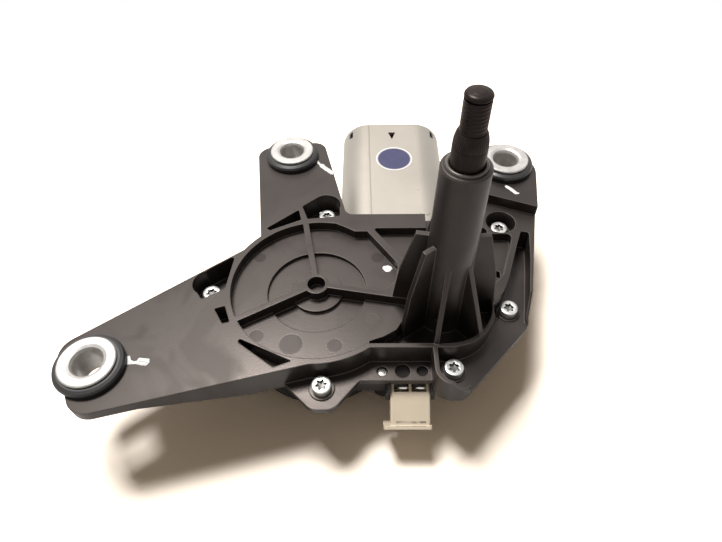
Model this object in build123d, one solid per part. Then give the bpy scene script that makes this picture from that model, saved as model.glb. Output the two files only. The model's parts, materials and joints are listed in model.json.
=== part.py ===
"""Rear wiper motor: gear housing with its shaft tower, worm drive, swinging sector drive and motor can.

Millimetres. While the pieces are made, Z = 0 is the top rim of the gear housing, the output shaft
stands on X = Y = 0 and the motor lies along +Y. save() lowers every piece by ARM_SEAT_Z, so that the
finished part's origin is the centre of the shoulder that the wiper arm seats against.
"""
from build123d import *
import math
import os

os.makedirs("parts", exist_ok=True)

# Fits
RUNNING = 0.03            # radial clearance of a turning fit
SEATED = 0.02             # radial clearance of a piece that is pressed or bonded in
END_PLAY = 0.3            # axial gap between pieces that pass over each other

# Output shaft
THREAD_R = 4.0
THREAD_LENGTH = 12.5
ARM_SEAT_Z = 80.0
CONE_TOP_R = 4.5
CONE_LENGTH = 5.0
COLLAR_R = 5.25
SHAFT_R = 5.0
PINION_SEAT_R = 4.0

# Shaft tower
TOWER_TOP_Z = 68.0
TOWER_TOP_R = 7.95
TOWER_BASE_R = 9.2
TOWER_BUSH_R = 6.6
TOWER_BUSH_LENGTH = 14.0
SEAL_DEPTH = 4.0
SEAL_DROP = -0.1
GUSSET_THICKNESS = 1.8

# Housing levels and walls
FLOOR_Z = -4.4            # floor of the ribbed recess
ANNULUS_Z = -6.1          # ring groove in that floor
WELL_Z = -8.0             # floor of the well beside the tower
FLANGE_Z = -10.2          # top of the screw flange
SPLIT_Z = -12.6           # underside of the upper housing
SEAL_THICKNESS = 0.8
WALL = 2.2
RIM_WALL = 2.3
PAD_Z = 5.2               # raised pad of the right arm
CASE_FLOOR_Z = -38.2      # underside of the lower case
CASE_FLANGE = 3.0
FRONT_Y = -24.0           # inside of the case's front wall
FOOT_Z = -44.0            # bosses that the part stands on, level with the motor can
STEP_Z = -21.0            # floor of the case's shallow part, beside the wheel

# Gear centre and ring
WHEEL_X = -50.0
WHEEL_Y = 9.2
RING_R = 34.4
HUB_R = 5.0
HUB_HOLE_R = 3.6
HUB_HOLE_DEPTH = 5.0
GROOVE_INNER_R = 10.6
GROOVE_OUTER_R = 20.2
SPOKE_WIDTH = 2.4
ARC_WALL_R = 19.83
ARC_WALL = 1.6
WALL_X = -5.4             # raised wall beside the ledge

# Mounting points: rubber grommets with flanged steel sleeves
BUSHES = {
    "left": (-129.0, -28.8, 0.0),
    "top": (-66.2, 88.9, 0.0),
    "right": (35.0, 75.2, PAD_Z),
}
SLEEVE_BORE_R = 5.5
SLEEVE_R = 6.6
SLEEVE_FLANGE_R = 10.3
SLEEVE_FLANGE = 1.3
SLEEVE_RISE = 4.8         # top of the sleeve above its pad
SLEEVE_LENGTH = 13.8
GROMMET_R = 12.7
GROMMET_NECK_R = 8.6
GROMMET_LOWER_R = 11.0
ARM_PLATE = 4.2           # thickness of the arm that the grommet grips
GROMMET_LOWER = 3.2

# Housing screws: place, and the level that the head seats on
SCREWS = [
    (-46.4, -32.2, -9.5),
    (2.6, -25.2, -9.5),
    (27.4, 1.8, -9.5),
    (29.3, 43.3, -6.4),
    (-48.1, 54.7, -9.5),
    (-94.0, 10.0, -9.5),
]
SCREW_HEAD_R = 3.6
SCREW_HEAD = 3.0
HEAD_ROOM = 0.2           # clearance round a screw's head
SCREW_R = 2.0
SCREW_BOSS_R = 4.7
SCREW_EAR_R = 7.0
SCREW_BITE = 6.5          # length of the screw below the split
CASE_EAR_R = 5.6
CASE_BOSS_R = 4.1

# Motor can and armature
MOTOR_X = -16.0
MOTOR_Z = -26.5
MOTOR_MOUTH_Y = 48.7
CAN_LENGTH = 81.3
CAN_WIDTH = 53.5
CAN_HEIGHT = 35.0
CAN_CORNER_R = 14.0
CAN_WALL = 1.6
CAN_GAP = 0.4             # between the can and the arms beside it
ARMATURE_R = 14.5
AIR_GAP = 0.7
STACK_LENGTH = 34.0
STACK_START = 27.0        # from the mouth of the can
POLES = 8
SPINDLE_R = 3.0
BUSH_LENGTH = 6.0
BUSH_R = 6.0
COMMUTATOR_R = 7.0
COMMUTATOR_LENGTH = 12.0
COMMUTATOR_START = 7.0

# Worm pair
WORM_MODULE = 1.0
WHEEL_TEETH = 58
WORM_PITCH_R = 5.0
WORM_LENGTH = 25.0
WHEEL_WIDTH = 8.0
WORM_BACKLASH = 0.24
WHEEL_HUB_R = 13.5
AXLE_R = 4.0

# Sector pair
SECTOR_MODULE = 1.25
PINION_TEETH = 12
SECTOR_TEETH = 24
SECTOR_COPIES = 7
SECTOR_THICKNESS = 5.5
SECTOR_BACKLASH = 0.16
LINK_THICKNESS = 2.2
LINK_PIN_R = 3.0
LINK_WIDTH = 13.0
LINK_REST = 85.9          # direction of the link at rest, in degrees
LEVER_WIDTH = 10.5
CRANK_R = 7.7
CRANK_PIN_R = 3.0

# Connector: a plug socket that leans forward and down out of a frame on the lower case
CONNECTOR_X = -13.4
CONNECTOR_Y = -30.5       # upper edge of its top face
CONNECTOR_Z = -16.6
CONNECTOR_LEAN = 35.0     # below the level, in degrees
CONNECTOR_WIDTH = 15.1
CONNECTOR_HEIGHT = 10.5
CONNECTOR_REACH = 13.6    # from the upper edge to the mouth
CONNECTOR_WALL = 1.4
CONNECTOR_CORNER_R = 0.8
LIP_LENGTH = 1.4
LIP_WIDTH = 18.3
SOCKET_DEPTH = 10.5
FRAME_WALL = 1.9
TERMINAL_PITCH = 7.2
TERMINAL_TAB = 4.8
TERMINAL_Z = -18.0        # level of the tabs where they leave the case
TAB_END_Y = -28.5
RISER_Y = -6.2
BOARD_THICKNESS = 1.6
BOARD_Z = -35.3

# Worked out from the above
RING_OUTER_R = RING_R + RIM_WALL
WHEEL_PITCH_R = WORM_MODULE * WHEEL_TEETH / 2
PINION_PITCH_R = SECTOR_MODULE * PINION_TEETH / 2
SECTOR_PITCH_R = SECTOR_MODULE * SECTOR_TEETH / 2
LINK_LENGTH = PINION_PITCH_R + SECTOR_PITCH_R
CASE_TOP_Z = SPLIT_Z - SEAL_THICKNESS
CEILING_Z = ANNULUS_Z - WALL
WELL_CEILING_Z = WELL_Z - WALL
WASHER_THICKNESS = 0.5
LINK_TOP_Z = WELL_CEILING_Z - WASHER_THICKNESS
LINK_BOTTOM_Z = LINK_TOP_Z - LINK_THICKNESS
SECTOR_TOP_Z = LINK_BOTTOM_Z - END_PLAY
SECTOR_BOTTOM_Z = SECTOR_TOP_Z - SECTOR_THICKNESS
CRANK_PIN_END_Z = SECTOR_BOTTOM_Z - 1.0
WHEEL_TOP_Z = CRANK_PIN_END_Z - END_PLAY
WHEEL_RIM_TOP_Z = MOTOR_Z + WHEEL_WIDTH / 2
WHEEL_RIM_BOTTOM_Z = MOTOR_Z - WHEEL_WIDTH / 2
WHEEL_BOTTOM_Z = WHEEL_RIM_BOTTOM_Z - 0.8
CASE_FLOOR_TOP_Z = CASE_FLOOR_Z + WALL
CAN_END_Y = MOTOR_MOUTH_Y + CAN_LENGTH
LEVER_LENGTH = math.hypot(WHEEL_X - LINK_LENGTH * math.cos(math.radians(LINK_REST)),
                          WHEEL_Y - LINK_LENGTH * math.sin(math.radians(LINK_REST))) - CRANK_R
WHEEL_CENTRE = (WHEEL_X, WHEEL_Y)
HIGH = 200.0              # longer than any cut needs
CONNECTOR_AXIS = (0, -math.cos(math.radians(CONNECTOR_LEAN)), -math.sin(math.radians(CONNECTOR_LEAN)))
ARM_LEFT_ANGLE = math.degrees(math.atan2(BUSHES["left"][1] - WHEEL_Y, BUSHES["left"][0] - WHEEL_X))


# ---- Small helpers -------------------------------------------------------------------------------
def polar(radius, angle, centre=(0.0, 0.0)):
    """The point at a radius and an angle in degrees about a centre."""
    turn = math.radians(angle)
    return centre[0] + radius * math.cos(turn), centre[1] + radius * math.sin(turn)


def outline(corners):
    """A closed face whose corners are (x, y, fillet radius)."""
    points = [(x, y) for x, y, _ in corners]
    radii = [radius for _, _, radius in corners]
    return make_face(FilletPolyline(*points, radius=radii, close=True))


def disc(radius, centre=(0.0, 0.0)):
    """A round face."""
    return Pos(centre[0], centre[1]) * Circle(radius)


def bar(start, end, width):
    """A straight strip from one point to another."""
    length = math.hypot(end[0] - start[0], end[1] - start[1])
    angle = math.degrees(math.atan2(end[1] - start[1], end[0] - start[0]))
    return Pos(start[0], start[1]) * Rot(0, 0, angle) * Pos(length / 2, 0) * Rectangle(length, width)


def block(face, bottom, top):
    """A flat face raised between two levels."""
    return Pos(0, 0, bottom) * extrude(face, amount=top - bottom, dir=(0, 0, 1))


def post(radius, bottom, top, centre=(0.0, 0.0), bore=0.0):
    """An upright round post or tube."""
    face = disc(radius, centre)
    if bore:
        face -= disc(bore, centre)
    return block(face, bottom, top)


def motor_plane(y):
    """The upright plane across the motor's axis, with X to the right and Z up on it."""
    return Plane(origin=(MOTOR_X, y, MOTOR_Z), x_dir=(-1, 0, 0), z_dir=(0, 1, 0))


def along_motor(face, start, end):
    """A face drawn about the motor's axis, run from one Y to another."""
    return extrude(motor_plane(start) * face, amount=end - start, dir=(0, 1, 0))


def rod(radius, start, end, bore=0.0):
    """A round rod or tube on the motor's axis."""
    face = Circle(radius)
    if bore:
        face -= Circle(bore)
    return along_motor(face, start, end)


def turned(profile, centre=(0.0, 0.0), level=0.0):
    """A body of revolution about an upright axis from (radius, height) points."""
    face = make_face(Plane.XZ * Polyline(*profile, close=True))
    return Pos(centre[0], centre[1], level) * revolve(face, Axis.Z)


def save(name, shape):
    """Write one piece, with the arm's seat on the shaft as the origin."""
    shape.label = name
    export_step(Pos(0, 0, -ARM_SEAT_Z) * shape, f"parts/{name}.step")


# ---- Toothed outlines ----------------------------------------------------------------------------
def involute(angle):
    return math.tan(angle) - angle


def tooth(module, teeth, pressure, backlash, at, addendum=1.0, plain=False):
    """Points of one tooth that points along the angle at, from root to tip to root."""
    pitch_r = module * teeth / 2
    base_r = pitch_r * math.cos(math.radians(pressure))
    root_r = pitch_r - 1.25 * module
    tip_r = pitch_r + addendum * module
    half = math.pi / (2 * teeth) - backlash / (2 * pitch_r) + involute(math.radians(pressure))
    flank = []
    radii = (root_r, (root_r + pitch_r) / 2, pitch_r, (pitch_r + tip_r) / 2, tip_r)
    for radius in (root_r, pitch_r, tip_r) if plain else radii:
        roll = involute(math.acos(min(1.0, base_r / radius)))
        flank.append((radius, math.degrees(half - roll)))
    rising = [polar(radius, at - spread) for radius, spread in flank]
    falling = [polar(radius, at + spread) for radius, spread in reversed(flank)]
    return rising + falling


def toothed_face(module, teeth, pressure, backlash, first, addendum=1.0, plain=False):
    """The face of a whole gear with a tooth pointing along the angle first."""
    points = []
    for index in range(teeth):
        points += tooth(module, teeth, pressure, backlash, first + index * 360 / teeth, addendum, plain)
    return make_face(Polyline(*points, close=True))


# ---- Housing outlines ----------------------------------------------------------------------------
def housing_face():
    """The three-armed top plate, with the round of the ring and of the well wall."""
    arms = outline([
        (-145.3, -20.8, 8), (-130.3, -47.9, 8), (WHEEL_X, -27.3, 0), (-29, -20.6, 0), (0, -20.6, 0),
        (20.6, 0, 0), (34.2, -3.5, 0), (45.3, 47.3, 0), (51.8, 87, 15), (20, 87, 14), (14, 58, 10),
        (13, MOTOR_MOUTH_Y, 3), (-38.8, MOTOR_MOUTH_Y, 4), (-51.4, 101.2, 6), (-84.1, 95.8, 7),
        (-75.2, 32.7, 5),
    ])
    return arms + disc(RING_OUTER_R, WHEEL_CENTRE) + disc(ARC_WALL_R + ARC_WALL / 2)


def flange_face():
    """The screw flange where it stands out in front of the top plate."""
    front = outline([
        (-60.6, -30, 0), (-50, -40.4, 6), (-42, -40.4, 6), (-32.6, -28.7, 2), (WALL_X, -28.7, 0),
        (WALL_X, -35.9, 6.9), (5.9, -35.9, 6.9), (34.6, -5.2, 8), (40.2, 24, 0), (0, 24, 0), (-50, 0, 0),
    ])
    return front


def front_wall():
    """The raised wall that leaves the rim beside the ledge, rounds the front screw and dies away."""
    ear = outline([(WALL_X, -18, 0), (WALL_X, -35.9, 6.9), (5.9, -35.9, 6.9), (22.5, -18, 0)])
    strip = (ear - offset(ear, -ARC_WALL)) & (Pos(0, -45) * Rectangle(60, 50))
    wall = block(strip, SPLIT_Z, 0)
    fall = make_face(Polyline((0.5, 1), (0.5, 0), (8.5, FLANGE_Z), (40, FLANGE_Z), (40, 1), close=True))
    return wall - Pos(0, -10, 0) * extrude(Plane.XZ * fall, amount=40)


def cavity_face():
    """The room for the gears, shared by both halves of the housing."""
    room = outline([
        (WHEEL_X, FRONT_Y, 0), (-5, FRONT_Y, 3), (8, -16, 3), (22, -4, 4), (23.5, 9, 4), (31, 24, 4),
        (33, 33, 4), (20.5, 42.2, 4), (WHEEL_X, 42.2, 0),
    ])
    return room + disc(RING_R - 1.0, WHEEL_CENTRE)


def case_face(margin=0.0):
    """The lower case's flange: the room, its wall, and an ear for each screw."""
    face = offset(cavity_face(), WALL + 1.6 + margin)
    for x, y, _ in SCREWS:
        reach = math.hypot(x - WHEEL_X, y - WHEEL_Y)
        nearest = WHEEL_CENTRE if reach < 60 else (10.0, 15.0)
        inward = math.degrees(math.atan2(nearest[1] - y, nearest[0] - x))
        root = polar(14.0, inward, (x, y))
        face += disc(CASE_EAR_R + margin, (x, y))
        face += bar((x, y), root, 2 * (CASE_EAR_R + margin))
    return face & (housing_face() + flange_face())


def recess_face():
    """The sunk floor round the gear centre and behind the tower, between the ribs."""
    floor = disc(RING_R, WHEEL_CENTRE) - outline([
        (WHEEL_X, WHEEL_Y, 0), (-28, -17.4, 0), (-8, -26, 0), (0, 10, 0), (-20, 60, 0), (-38.8, 40.6, 0),
    ])
    floor += outline([
        (WHEEL_X, WHEEL_Y, 0), (-45, 40.6, 0), (-38.8, 40.6, 3), (-34.8, 38.1, 2), (-29.4, 38.1, .5),
        (-16.7, 19.5, 1), (-17.9, 11, 4), (-22, 6.2, 4), (-32.4, 5.4, 0),
    ])
    floor -= outline([(-44.5, 43.6, 0), (-38.8, 40.6, 3), (-34.8, 38.1, 0), (-27, 38.1, 0), (-27, 46, 0)])
    floor += outline([
        (WHEEL_X, WHEEL_Y, 0), (-28, -17.4, 0), (-23.5, -15.8, 0), (-18.7, -12.8, 2), (-14.7, -6.1, 2),
        (-13.6, 2.2, 1), (-20, 3.4, 0),
    ])
    floor += outline([
        (-27, 40, 1), (22.5, 40, 2), (22.5, 36.2, 0), (33.2, 36.2, 2), (30.8, 28, 0), (26, 14, 2),
        (20.8, 8, 1), (0, 0, 0), (-13.4, 4, 1), (-15.2, 11, 4), (-14, 20.8, 1),
    ])
    return floor - disc(HUB_R, WHEEL_CENTRE) - spokes_face()


def corner_face():
    """The deeper corner between the round floor, the rim and the tower."""
    return outline([
        (-13.5, 0, 0), (-14.6, -6.1, 2), (-18.6, -12.9, 2), (-23.4, -15.9, 0), (-29.5, -18.2, 0),
        (-29.5, -18.9, 0), (-4.6, -18.9, 0), (-3.4, -8, 0), (-8, 0, 0),
    ])


def spokes_face():
    """Three ribs from the hub: to the ring twice, and to the tower."""
    rim = (RING_R + RING_OUTER_R) / 2
    to_tower = math.degrees(math.atan2(-WHEEL_Y, -WHEEL_X))
    tower_gap = math.hypot(WHEEL_X, WHEEL_Y) - TOWER_BASE_R
    face = bar(WHEEL_CENTRE, polar(rim + 8, 101, WHEEL_CENTRE), SPOKE_WIDTH)
    face += bar(WHEEL_CENTRE, polar(rim, 209.5, WHEEL_CENTRE), SPOKE_WIDTH)
    return face + bar(WHEEL_CENTRE, polar(tower_gap, to_tower, WHEEL_CENTRE), SPOKE_WIDTH)


# ---- Upper housing -------------------------------------------------------------------------------
def pockets():
    """Pockets in the top plate: (outline, floor level)."""
    deep = FLANGE_Z
    left = SCREWS[5]
    top = SCREWS[4]
    right = SCREWS[3]
    return [
        (outline([(-85, 24.5, 1), (-86.5, 7, 1), (-95, 1.5, 1), (-101, 10, 5), (-95, 17, 3)]), deep),
        (disc(SCREW_HEAD_R + 2.6, left), deep),
        (outline([(-89.2, -3, .5), (-85.2, -1.6, .5), (-82.2, -9.2, .5), (-84.9, -9.9, .5)]), WELL_Z),
        (outline([(-77.5, -16.6, .5), (-57, -26.2, .3), (-63.5, -28.8, .5), (-77.5, -18.4, .5)]), WELL_Z),
        (outline([(-73.8, 40.2, .6), (-60.3, 51.8, .6), (-58.8, 45.4, .6), (-72, 39, .6)]), WELL_Z),
        (outline([(-59, 54, 1), (-52, 60, 2), (-42, 57, 2), (-41.6, 47.6, 1), (-56, 45.8, 1)]), deep),
        (disc(SCREW_HEAD_R + 3.0, top), deep),
        (disc(SCREW_HEAD_R + 2.9, right), WELL_Z),
        (outline([(19.5, -1, 0), (24.6, 5, 0), (27.8, 12, 0), (31, 21, 0), (34.4, 30.6, 0), (37.2, 37.8, 1),
                  (40.6, 36.8, 1.2), (38.4, 22, 0), (33.6, -2, 0), (34, -12, 0), (19, -12, 0)]), deep),
        (outline([(-3.6, 38.5, 0), (-3.6, 51, 0), (6, 51, 0), (6, 38.5, 0)]), FLOOR_Z),
        (outline([(23.5, 19.4, .4), (25.9, 18.4, .4), (25.6, 14.8, .4), (23.6, 15.6, .4)]), WELL_Z),
    ]


def grommet_seats():
    """Holes for the grommet necks, opened out below the plate that they grip."""
    cuts = Part()
    for x, y, pad in BUSHES.values():
        cuts += post(GROMMET_NECK_R, -HIGH, HIGH, (x, y))
        cuts += post(GROMMET_R + 0.4, -HIGH, pad - ARM_PLATE, (x, y))
    return cuts


def arm_hollows():
    """The hollow undersides of the three arms, either side of their stiffening ribs."""
    inner = offset(housing_face(), -WALL)
    solid = disc(RING_OUTER_R + 9, WHEEL_CENTRE)
    solid += Pos(-20, 0) * Rectangle(78, 105) + Pos(20, 0) * Rectangle(80, 112)
    for x, y, _ in SCREWS:
        solid += disc(SCREW_EAR_R + 1.5, (x, y))
    for x, y, _ in BUSHES.values():
        solid += disc(GROMMET_R + WALL, (x, y))
    for pocket, _ in pockets():
        solid += offset(pocket, WALL)
    left, top, right = BUSHES.values()
    solid += bar(WHEEL_CENTRE, left, WALL) + bar((-62, 40), top, WALL) + bar((28, 40), right, WALL)
    for step in (50, 66):
        foot = polar(step, ARM_LEFT_ANGLE, WHEEL_CENTRE)
        ends = polar(40, ARM_LEFT_ANGLE + 90, foot), polar(40, ARM_LEFT_ANGLE - 90, foot)
        solid += bar(*ends, WALL)
    hollow = inner - solid
    low = block(hollow, -HIGH, -WALL)
    return low


def arm_undersides():
    """Wedges that thin the left and top arms from their roots to their ends."""
    root = RING_OUTER_R + 2
    thin = -ARM_PLATE - 0.4
    side = make_face(Polyline((root, SPLIT_Z), (root + 38, thin), (root + 80, thin),
                              (root + 80, SPLIT_Z - 1), (root, SPLIT_Z - 1), close=True))
    wedge = Pos(0, 60, 0) * extrude(Plane.XZ * side, amount=120)
    centre = Pos(WHEEL_X, WHEEL_Y, 0)
    return centre * Rot(0, 0, ARM_LEFT_ANGLE) * wedge, centre * Rot(0, 0, 101) * wedge


def gusset(angle, corners):
    """An upright plate on the tower from (radius, height) corners."""
    face = make_face(Polyline(*corners, close=True))
    plate = extrude(Plane.XZ * face, amount=GUSSET_THICKNESS / 2, both=True)
    return Rot(0, 0, angle) * plate


def tower():
    """The tapering tower with its gussets, before it is bored."""
    base = WELL_CEILING_Z
    body = turned([(0, base), (TOWER_BASE_R, base), (TOWER_BASE_R, 0), (TOWER_TOP_R, TOWER_TOP_Z - 0.6),
                   (TOWER_TOP_R - 0.6, TOWER_TOP_Z), (0, TOWER_TOP_Z)])
    core = TOWER_BASE_R - 2
    foot = ARC_WALL_R
    plate = [(core, base), (core, 37), (TOWER_BASE_R + 3.7, 37), (TOWER_BASE_R + 8.7, 16.5),
             (foot, 0), (foot, base)]
    fin = [(core, base), (core, 31), (TOWER_BASE_R - 0.3, 29), (foot, 0), (foot, base)]
    to_wheel = math.degrees(math.atan2(WHEEL_Y, WHEEL_X))
    for angle in (to_wheel, 215, 4, 60, 115):
        body += gusset(angle, plate)
    for angle in (258, 311):
        body += gusset(angle, fin)
    return body


def tower_bore():
    """The shaft's way through the tower, wider for the bushes and the seal."""
    seal_floor = TOWER_TOP_Z - SEAL_DROP - SEAL_DEPTH
    cut = post(SHAFT_R + 0.6, -HIGH, HIGH)
    cut += post(TOWER_BUSH_R + SEATED, seal_floor - TOWER_BUSH_LENGTH, HIGH)
    cut += post(TOWER_BUSH_R + SEATED, -HIGH, WELL_CEILING_Z + TOWER_BUSH_LENGTH)
    return cut


def well():
    """The deep quarter in front of the tower, inside the arc wall."""
    sector = make_face(Polyline((0, 0), polar(60, 258), polar(60, 292), polar(60, 326), polar(60, 4),
                                close=True))
    return sector & disc(ARC_WALL_R - ARC_WALL / 2) - disc(TOWER_BASE_R - 1)


def upper_housing():
    """The moulded gear housing with its arms, ribs, flange and shaft tower."""
    plate = housing_face()
    body = block(plate, SPLIT_Z, 0) + block(flange_face(), SPLIT_Z, FLANGE_Z)
    step = Pos(26, 55) * Rot(0, 0, -21.5) * Pos(0, 40) * Rectangle(120, 80)
    right_arm = plate & step & (Pos(50, 60) * Rectangle(80, 80))
    body += block(right_arm, 0, PAD_Z)
    body += front_wall()
    body -= block(recess_face(), FLOOR_Z, HIGH) + block(corner_face(), WELL_Z, HIGH)
    groove = disc(GROOVE_OUTER_R, WHEEL_CENTRE) - disc(GROOVE_INNER_R, WHEEL_CENTRE) - spokes_face()
    body -= block(groove, ANNULUS_Z, HIGH)
    for face, level in pockets():
        body -= block(face, level, PAD_Z)
    body -= block(well(), WELL_Z, HIGH)
    body -= post(HUB_HOLE_R, -HUB_HOLE_DEPTH, HIGH, WHEEL_CENTRE)
    room = cavity_face() & offset(housing_face(), -WALL)
    over_link = room & disc(ARC_WALL_R + 15)
    body -= block(room - disc(ARC_WALL_R + 15), SPLIT_Z, CEILING_Z)
    body -= block(over_link, SPLIT_Z, WELL_CEILING_Z)
    for x, y, seat in SCREWS:
        body += post(SCREW_BOSS_R, SPLIT_Z, seat, (x, y))
    for wedge in arm_undersides():
        body -= wedge
    slope = make_face(Polyline((5, 0.1), (-5.5, FLANGE_Z), (-20, FLANGE_Z), (-20, 1), (5, 1), close=True))
    body -= Pos(29.5, 0, 0) * extrude(Plane.YZ * slope, amount=20)
    body -= grommet_seats() + arm_hollows()
    body += tower()
    body -= tower_bore()
    for x, y, seat in SCREWS:
        body -= post(SCREW_R + 0.3, -HIGH, HIGH, (x, y))
        body -= post(SCREW_HEAD_R + HEAD_ROOM, seat, HIGH, (x, y))
    for x, radius in ((-24, 2.1), (-16.3, 2.9), (-8.9, 2.2)):
        body -= post(radius, SPLIT_Z + 0.7, HIGH, (x, -24.8))
    return body - along_motor(can_face(-CAN_GAP), MOTOR_MOUTH_Y, MOTOR_MOUTH_Y + HIGH)


# ---- Lower case ----------------------------------------------------------------------------------
def connector_box(grow=0.0):
    """The cross-section of the connector, below the line of its top face."""
    face = RectangleRounded(CONNECTOR_WIDTH + 2 * grow, CONNECTOR_HEIGHT + 2 * grow,
                            max(CONNECTOR_CORNER_R + grow, 0.3))
    return Pos(0, -CONNECTOR_HEIGHT / 2) * face


def along_connector(face, start, end):
    """A face drawn across the connector, run along it from its upper edge; up on the face is its top."""
    plane = Plane(origin=(CONNECTOR_X, CONNECTOR_Y, CONNECTOR_Z), x_dir=(1, 0, 0), z_dir=CONNECTOR_AXIS)
    return extrude(plane.offset(start) * face, amount=end - start, dir=CONNECTOR_AXIS)


def before_case():
    """The space in front of the case's wall."""
    wall_y = FRONT_Y - WALL
    return Pos(0, wall_y - HIGH / 2, 0) * Box(HIGH, HIGH, HIGH)


def connector_frame():
    """The frame on the case that holds the connector between its cheeks, open at the front."""
    cheeks = along_connector(connector_box(FRAME_WALL), -12, 8)
    cheeks &= Pos(CONNECTOR_X, -28.2, CASE_TOP_Z - 4) * Box(HIGH, 5.6, 8)
    over = Pos(0, 5) * Rectangle(CONNECTOR_WIDTH + 2 * SEATED, 20)
    return cheeks - along_connector(over, -HIGH / 4, HIGH / 4)


def across(face, start, end):
    """A face on an upright plane, run from one Y to another."""
    return Pos(0, start, 0) * extrude(face, amount=end - start, dir=(0, 1, 0))


def deep_face():
    """The deep part of the case's room, for the wheel and the worm."""
    face = disc(WHEEL_PITCH_R + 2.1, WHEEL_CENTRE)
    face += outline([(-25, -19, 2), (-7.8, -19, 2), (-7.8, 42.2, 0), (-25, 42.2, 0)])
    return face & cavity_face()


def lower_case():
    """The tray that holds the gears, with bearing seats, screw bosses and the motor's end plate."""
    room = cavity_face()
    deep = deep_face()
    body = block(case_face(), CASE_TOP_Z - CASE_FLANGE, CASE_TOP_Z)
    body += block(offset(room, WALL), STEP_Z - WALL, CASE_TOP_Z)
    body += block(offset(deep, WALL), CASE_FLOOR_Z, CASE_TOP_Z)
    plate = motor_plane(0) * RectangleRounded(CAN_WIDTH, CAN_HEIGHT, CAN_CORNER_R)
    body += across(plate, MOTOR_MOUTH_Y - 4, MOTOR_MOUTH_Y)
    body += connector_frame()
    for x, y, _ in SCREWS:
        body += post(CASE_BOSS_R, CASE_TOP_Z - SCREW_BITE - 1.5, CASE_TOP_Z, (x, y))
    for foot in ((0.0, 0.0), (20.0, 30.0)):
        body += post(6.0, FOOT_Z, STEP_Z, foot)
    body -= block(room, STEP_Z, HIGH) + block(deep, CASE_FLOOR_TOP_Z, HIGH)
    body -= Pos(0, 0, CASE_TOP_Z + HIGH / 2) * Box(2 * HIGH, 2 * HIGH, HIGH)
    body += rod(BUSH_R + WALL, MOTOR_MOUTH_Y - BUSH_LENGTH - 4, MOTOR_MOUTH_Y)
    seat = Pos(MOTOR_X, -12.5, (CASE_FLOOR_Z + MOTOR_Z) / 2) * Box(17, 11, MOTOR_Z - CASE_FLOOR_Z)
    body += seat + rod(BUSH_R + WALL, -18, -7)
    body += post(AXLE_R + 3.5, FOOT_Z, WHEEL_BOTTOM_Z - 0.6, WHEEL_CENTRE)
    body -= rod(BUSH_R + SEATED, -16, -7)
    body -= rod(BUSH_R + SEATED, MOTOR_MOUTH_Y - BUSH_LENGTH - 2, HIGH)
    body -= rod(SPINDLE_R + 0.6, 0, HIGH)
    body -= post(AXLE_R + SEATED, FOOT_Z + 2, HIGH, WHEEL_CENTRE)
    body -= along_connector(connector_box(SEATED), -30, 30) & before_case()
    for x in terminal_places():
        body -= Pos(x, FRONT_Y - WALL / 2, TERMINAL_Z) * Box(TERMINAL_TAB + 0.1, WALL + 3, 0.9)
    for x, y, _ in SCREWS:
        body -= post(SCREW_R + SEATED, CASE_TOP_Z - SCREW_BITE, HIGH, (x, y))
    return body


def housing_seal():
    """The flat gasket between the two halves."""
    face = case_face(-0.8) - cavity_face()
    for x, y, _ in SCREWS:
        face -= disc(SCREW_R + 0.3, (x, y))
    return block(face, CASE_TOP_Z, SPLIT_Z)


def housing_screws():
    """Six pan-head screws."""
    screws = []
    for x, y, seat in SCREWS:
        tip = CASE_TOP_Z - SCREW_BITE + 0.5
        profile = [(0, tip), (SCREW_R, tip), (SCREW_R, seat),
                   (SCREW_HEAD_R, seat), (SCREW_HEAD_R, seat + SCREW_HEAD - 0.6),
                   (SCREW_HEAD_R - 0.5, seat + SCREW_HEAD), (1.7, seat + SCREW_HEAD),
                   (1.7, seat + 1.2), (0, seat + 1.2)]
        screws.append(turned(profile, (x, y)))
    return Compound(children=screws)


# ---- Mounting points -----------------------------------------------------------------------------
def grommet(x, y, pad):
    """A rubber grommet gripping the arm's plate."""
    top = SLEEVE_RISE - SLEEVE_FLANGE
    bore = SLEEVE_R + SEATED
    profile = [(bore, top), (GROMMET_R - 1.6, top), (GROMMET_R - 0.4, top - 0.6), (GROMMET_R, top - 1.6),
               (GROMMET_R - 0.3, 0), (GROMMET_NECK_R - SEATED, 0), (GROMMET_NECK_R - SEATED, -ARM_PLATE),
               (GROMMET_LOWER_R, -ARM_PLATE), (GROMMET_LOWER_R, -ARM_PLATE - GROMMET_LOWER + 1),
               (GROMMET_LOWER_R - 1, -ARM_PLATE - GROMMET_LOWER), (bore, -ARM_PLATE - GROMMET_LOWER)]
    return turned(profile, (x, y), pad)


def sleeve(x, y, pad):
    """A flanged steel sleeve whose mouth is rounded into the bore."""
    low = SLEEVE_RISE - SLEEVE_LENGTH
    under = SLEEVE_RISE - SLEEVE_FLANGE
    edge = SLEEVE_FLANGE_R
    profile = [(SLEEVE_BORE_R, low), (SLEEVE_R, low), (SLEEVE_R, under), (edge - 0.3, under),
               (edge, under + 0.3), (edge, SLEEVE_RISE - 0.4), (edge - 0.4, SLEEVE_RISE),
               (SLEEVE_BORE_R + 1.6, SLEEVE_RISE), (SLEEVE_BORE_R + 0.5, SLEEVE_RISE - 0.5),
               (SLEEVE_BORE_R, SLEEVE_RISE - 1.7)]
    return turned(profile, (x, y), pad)


# ---- Output shaft and sector drive ---------------------------------------------------------------
def sector_pivot():
    """Where the sector is carried by the link, at rest."""
    return polar(LINK_LENGTH, LINK_REST)


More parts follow.
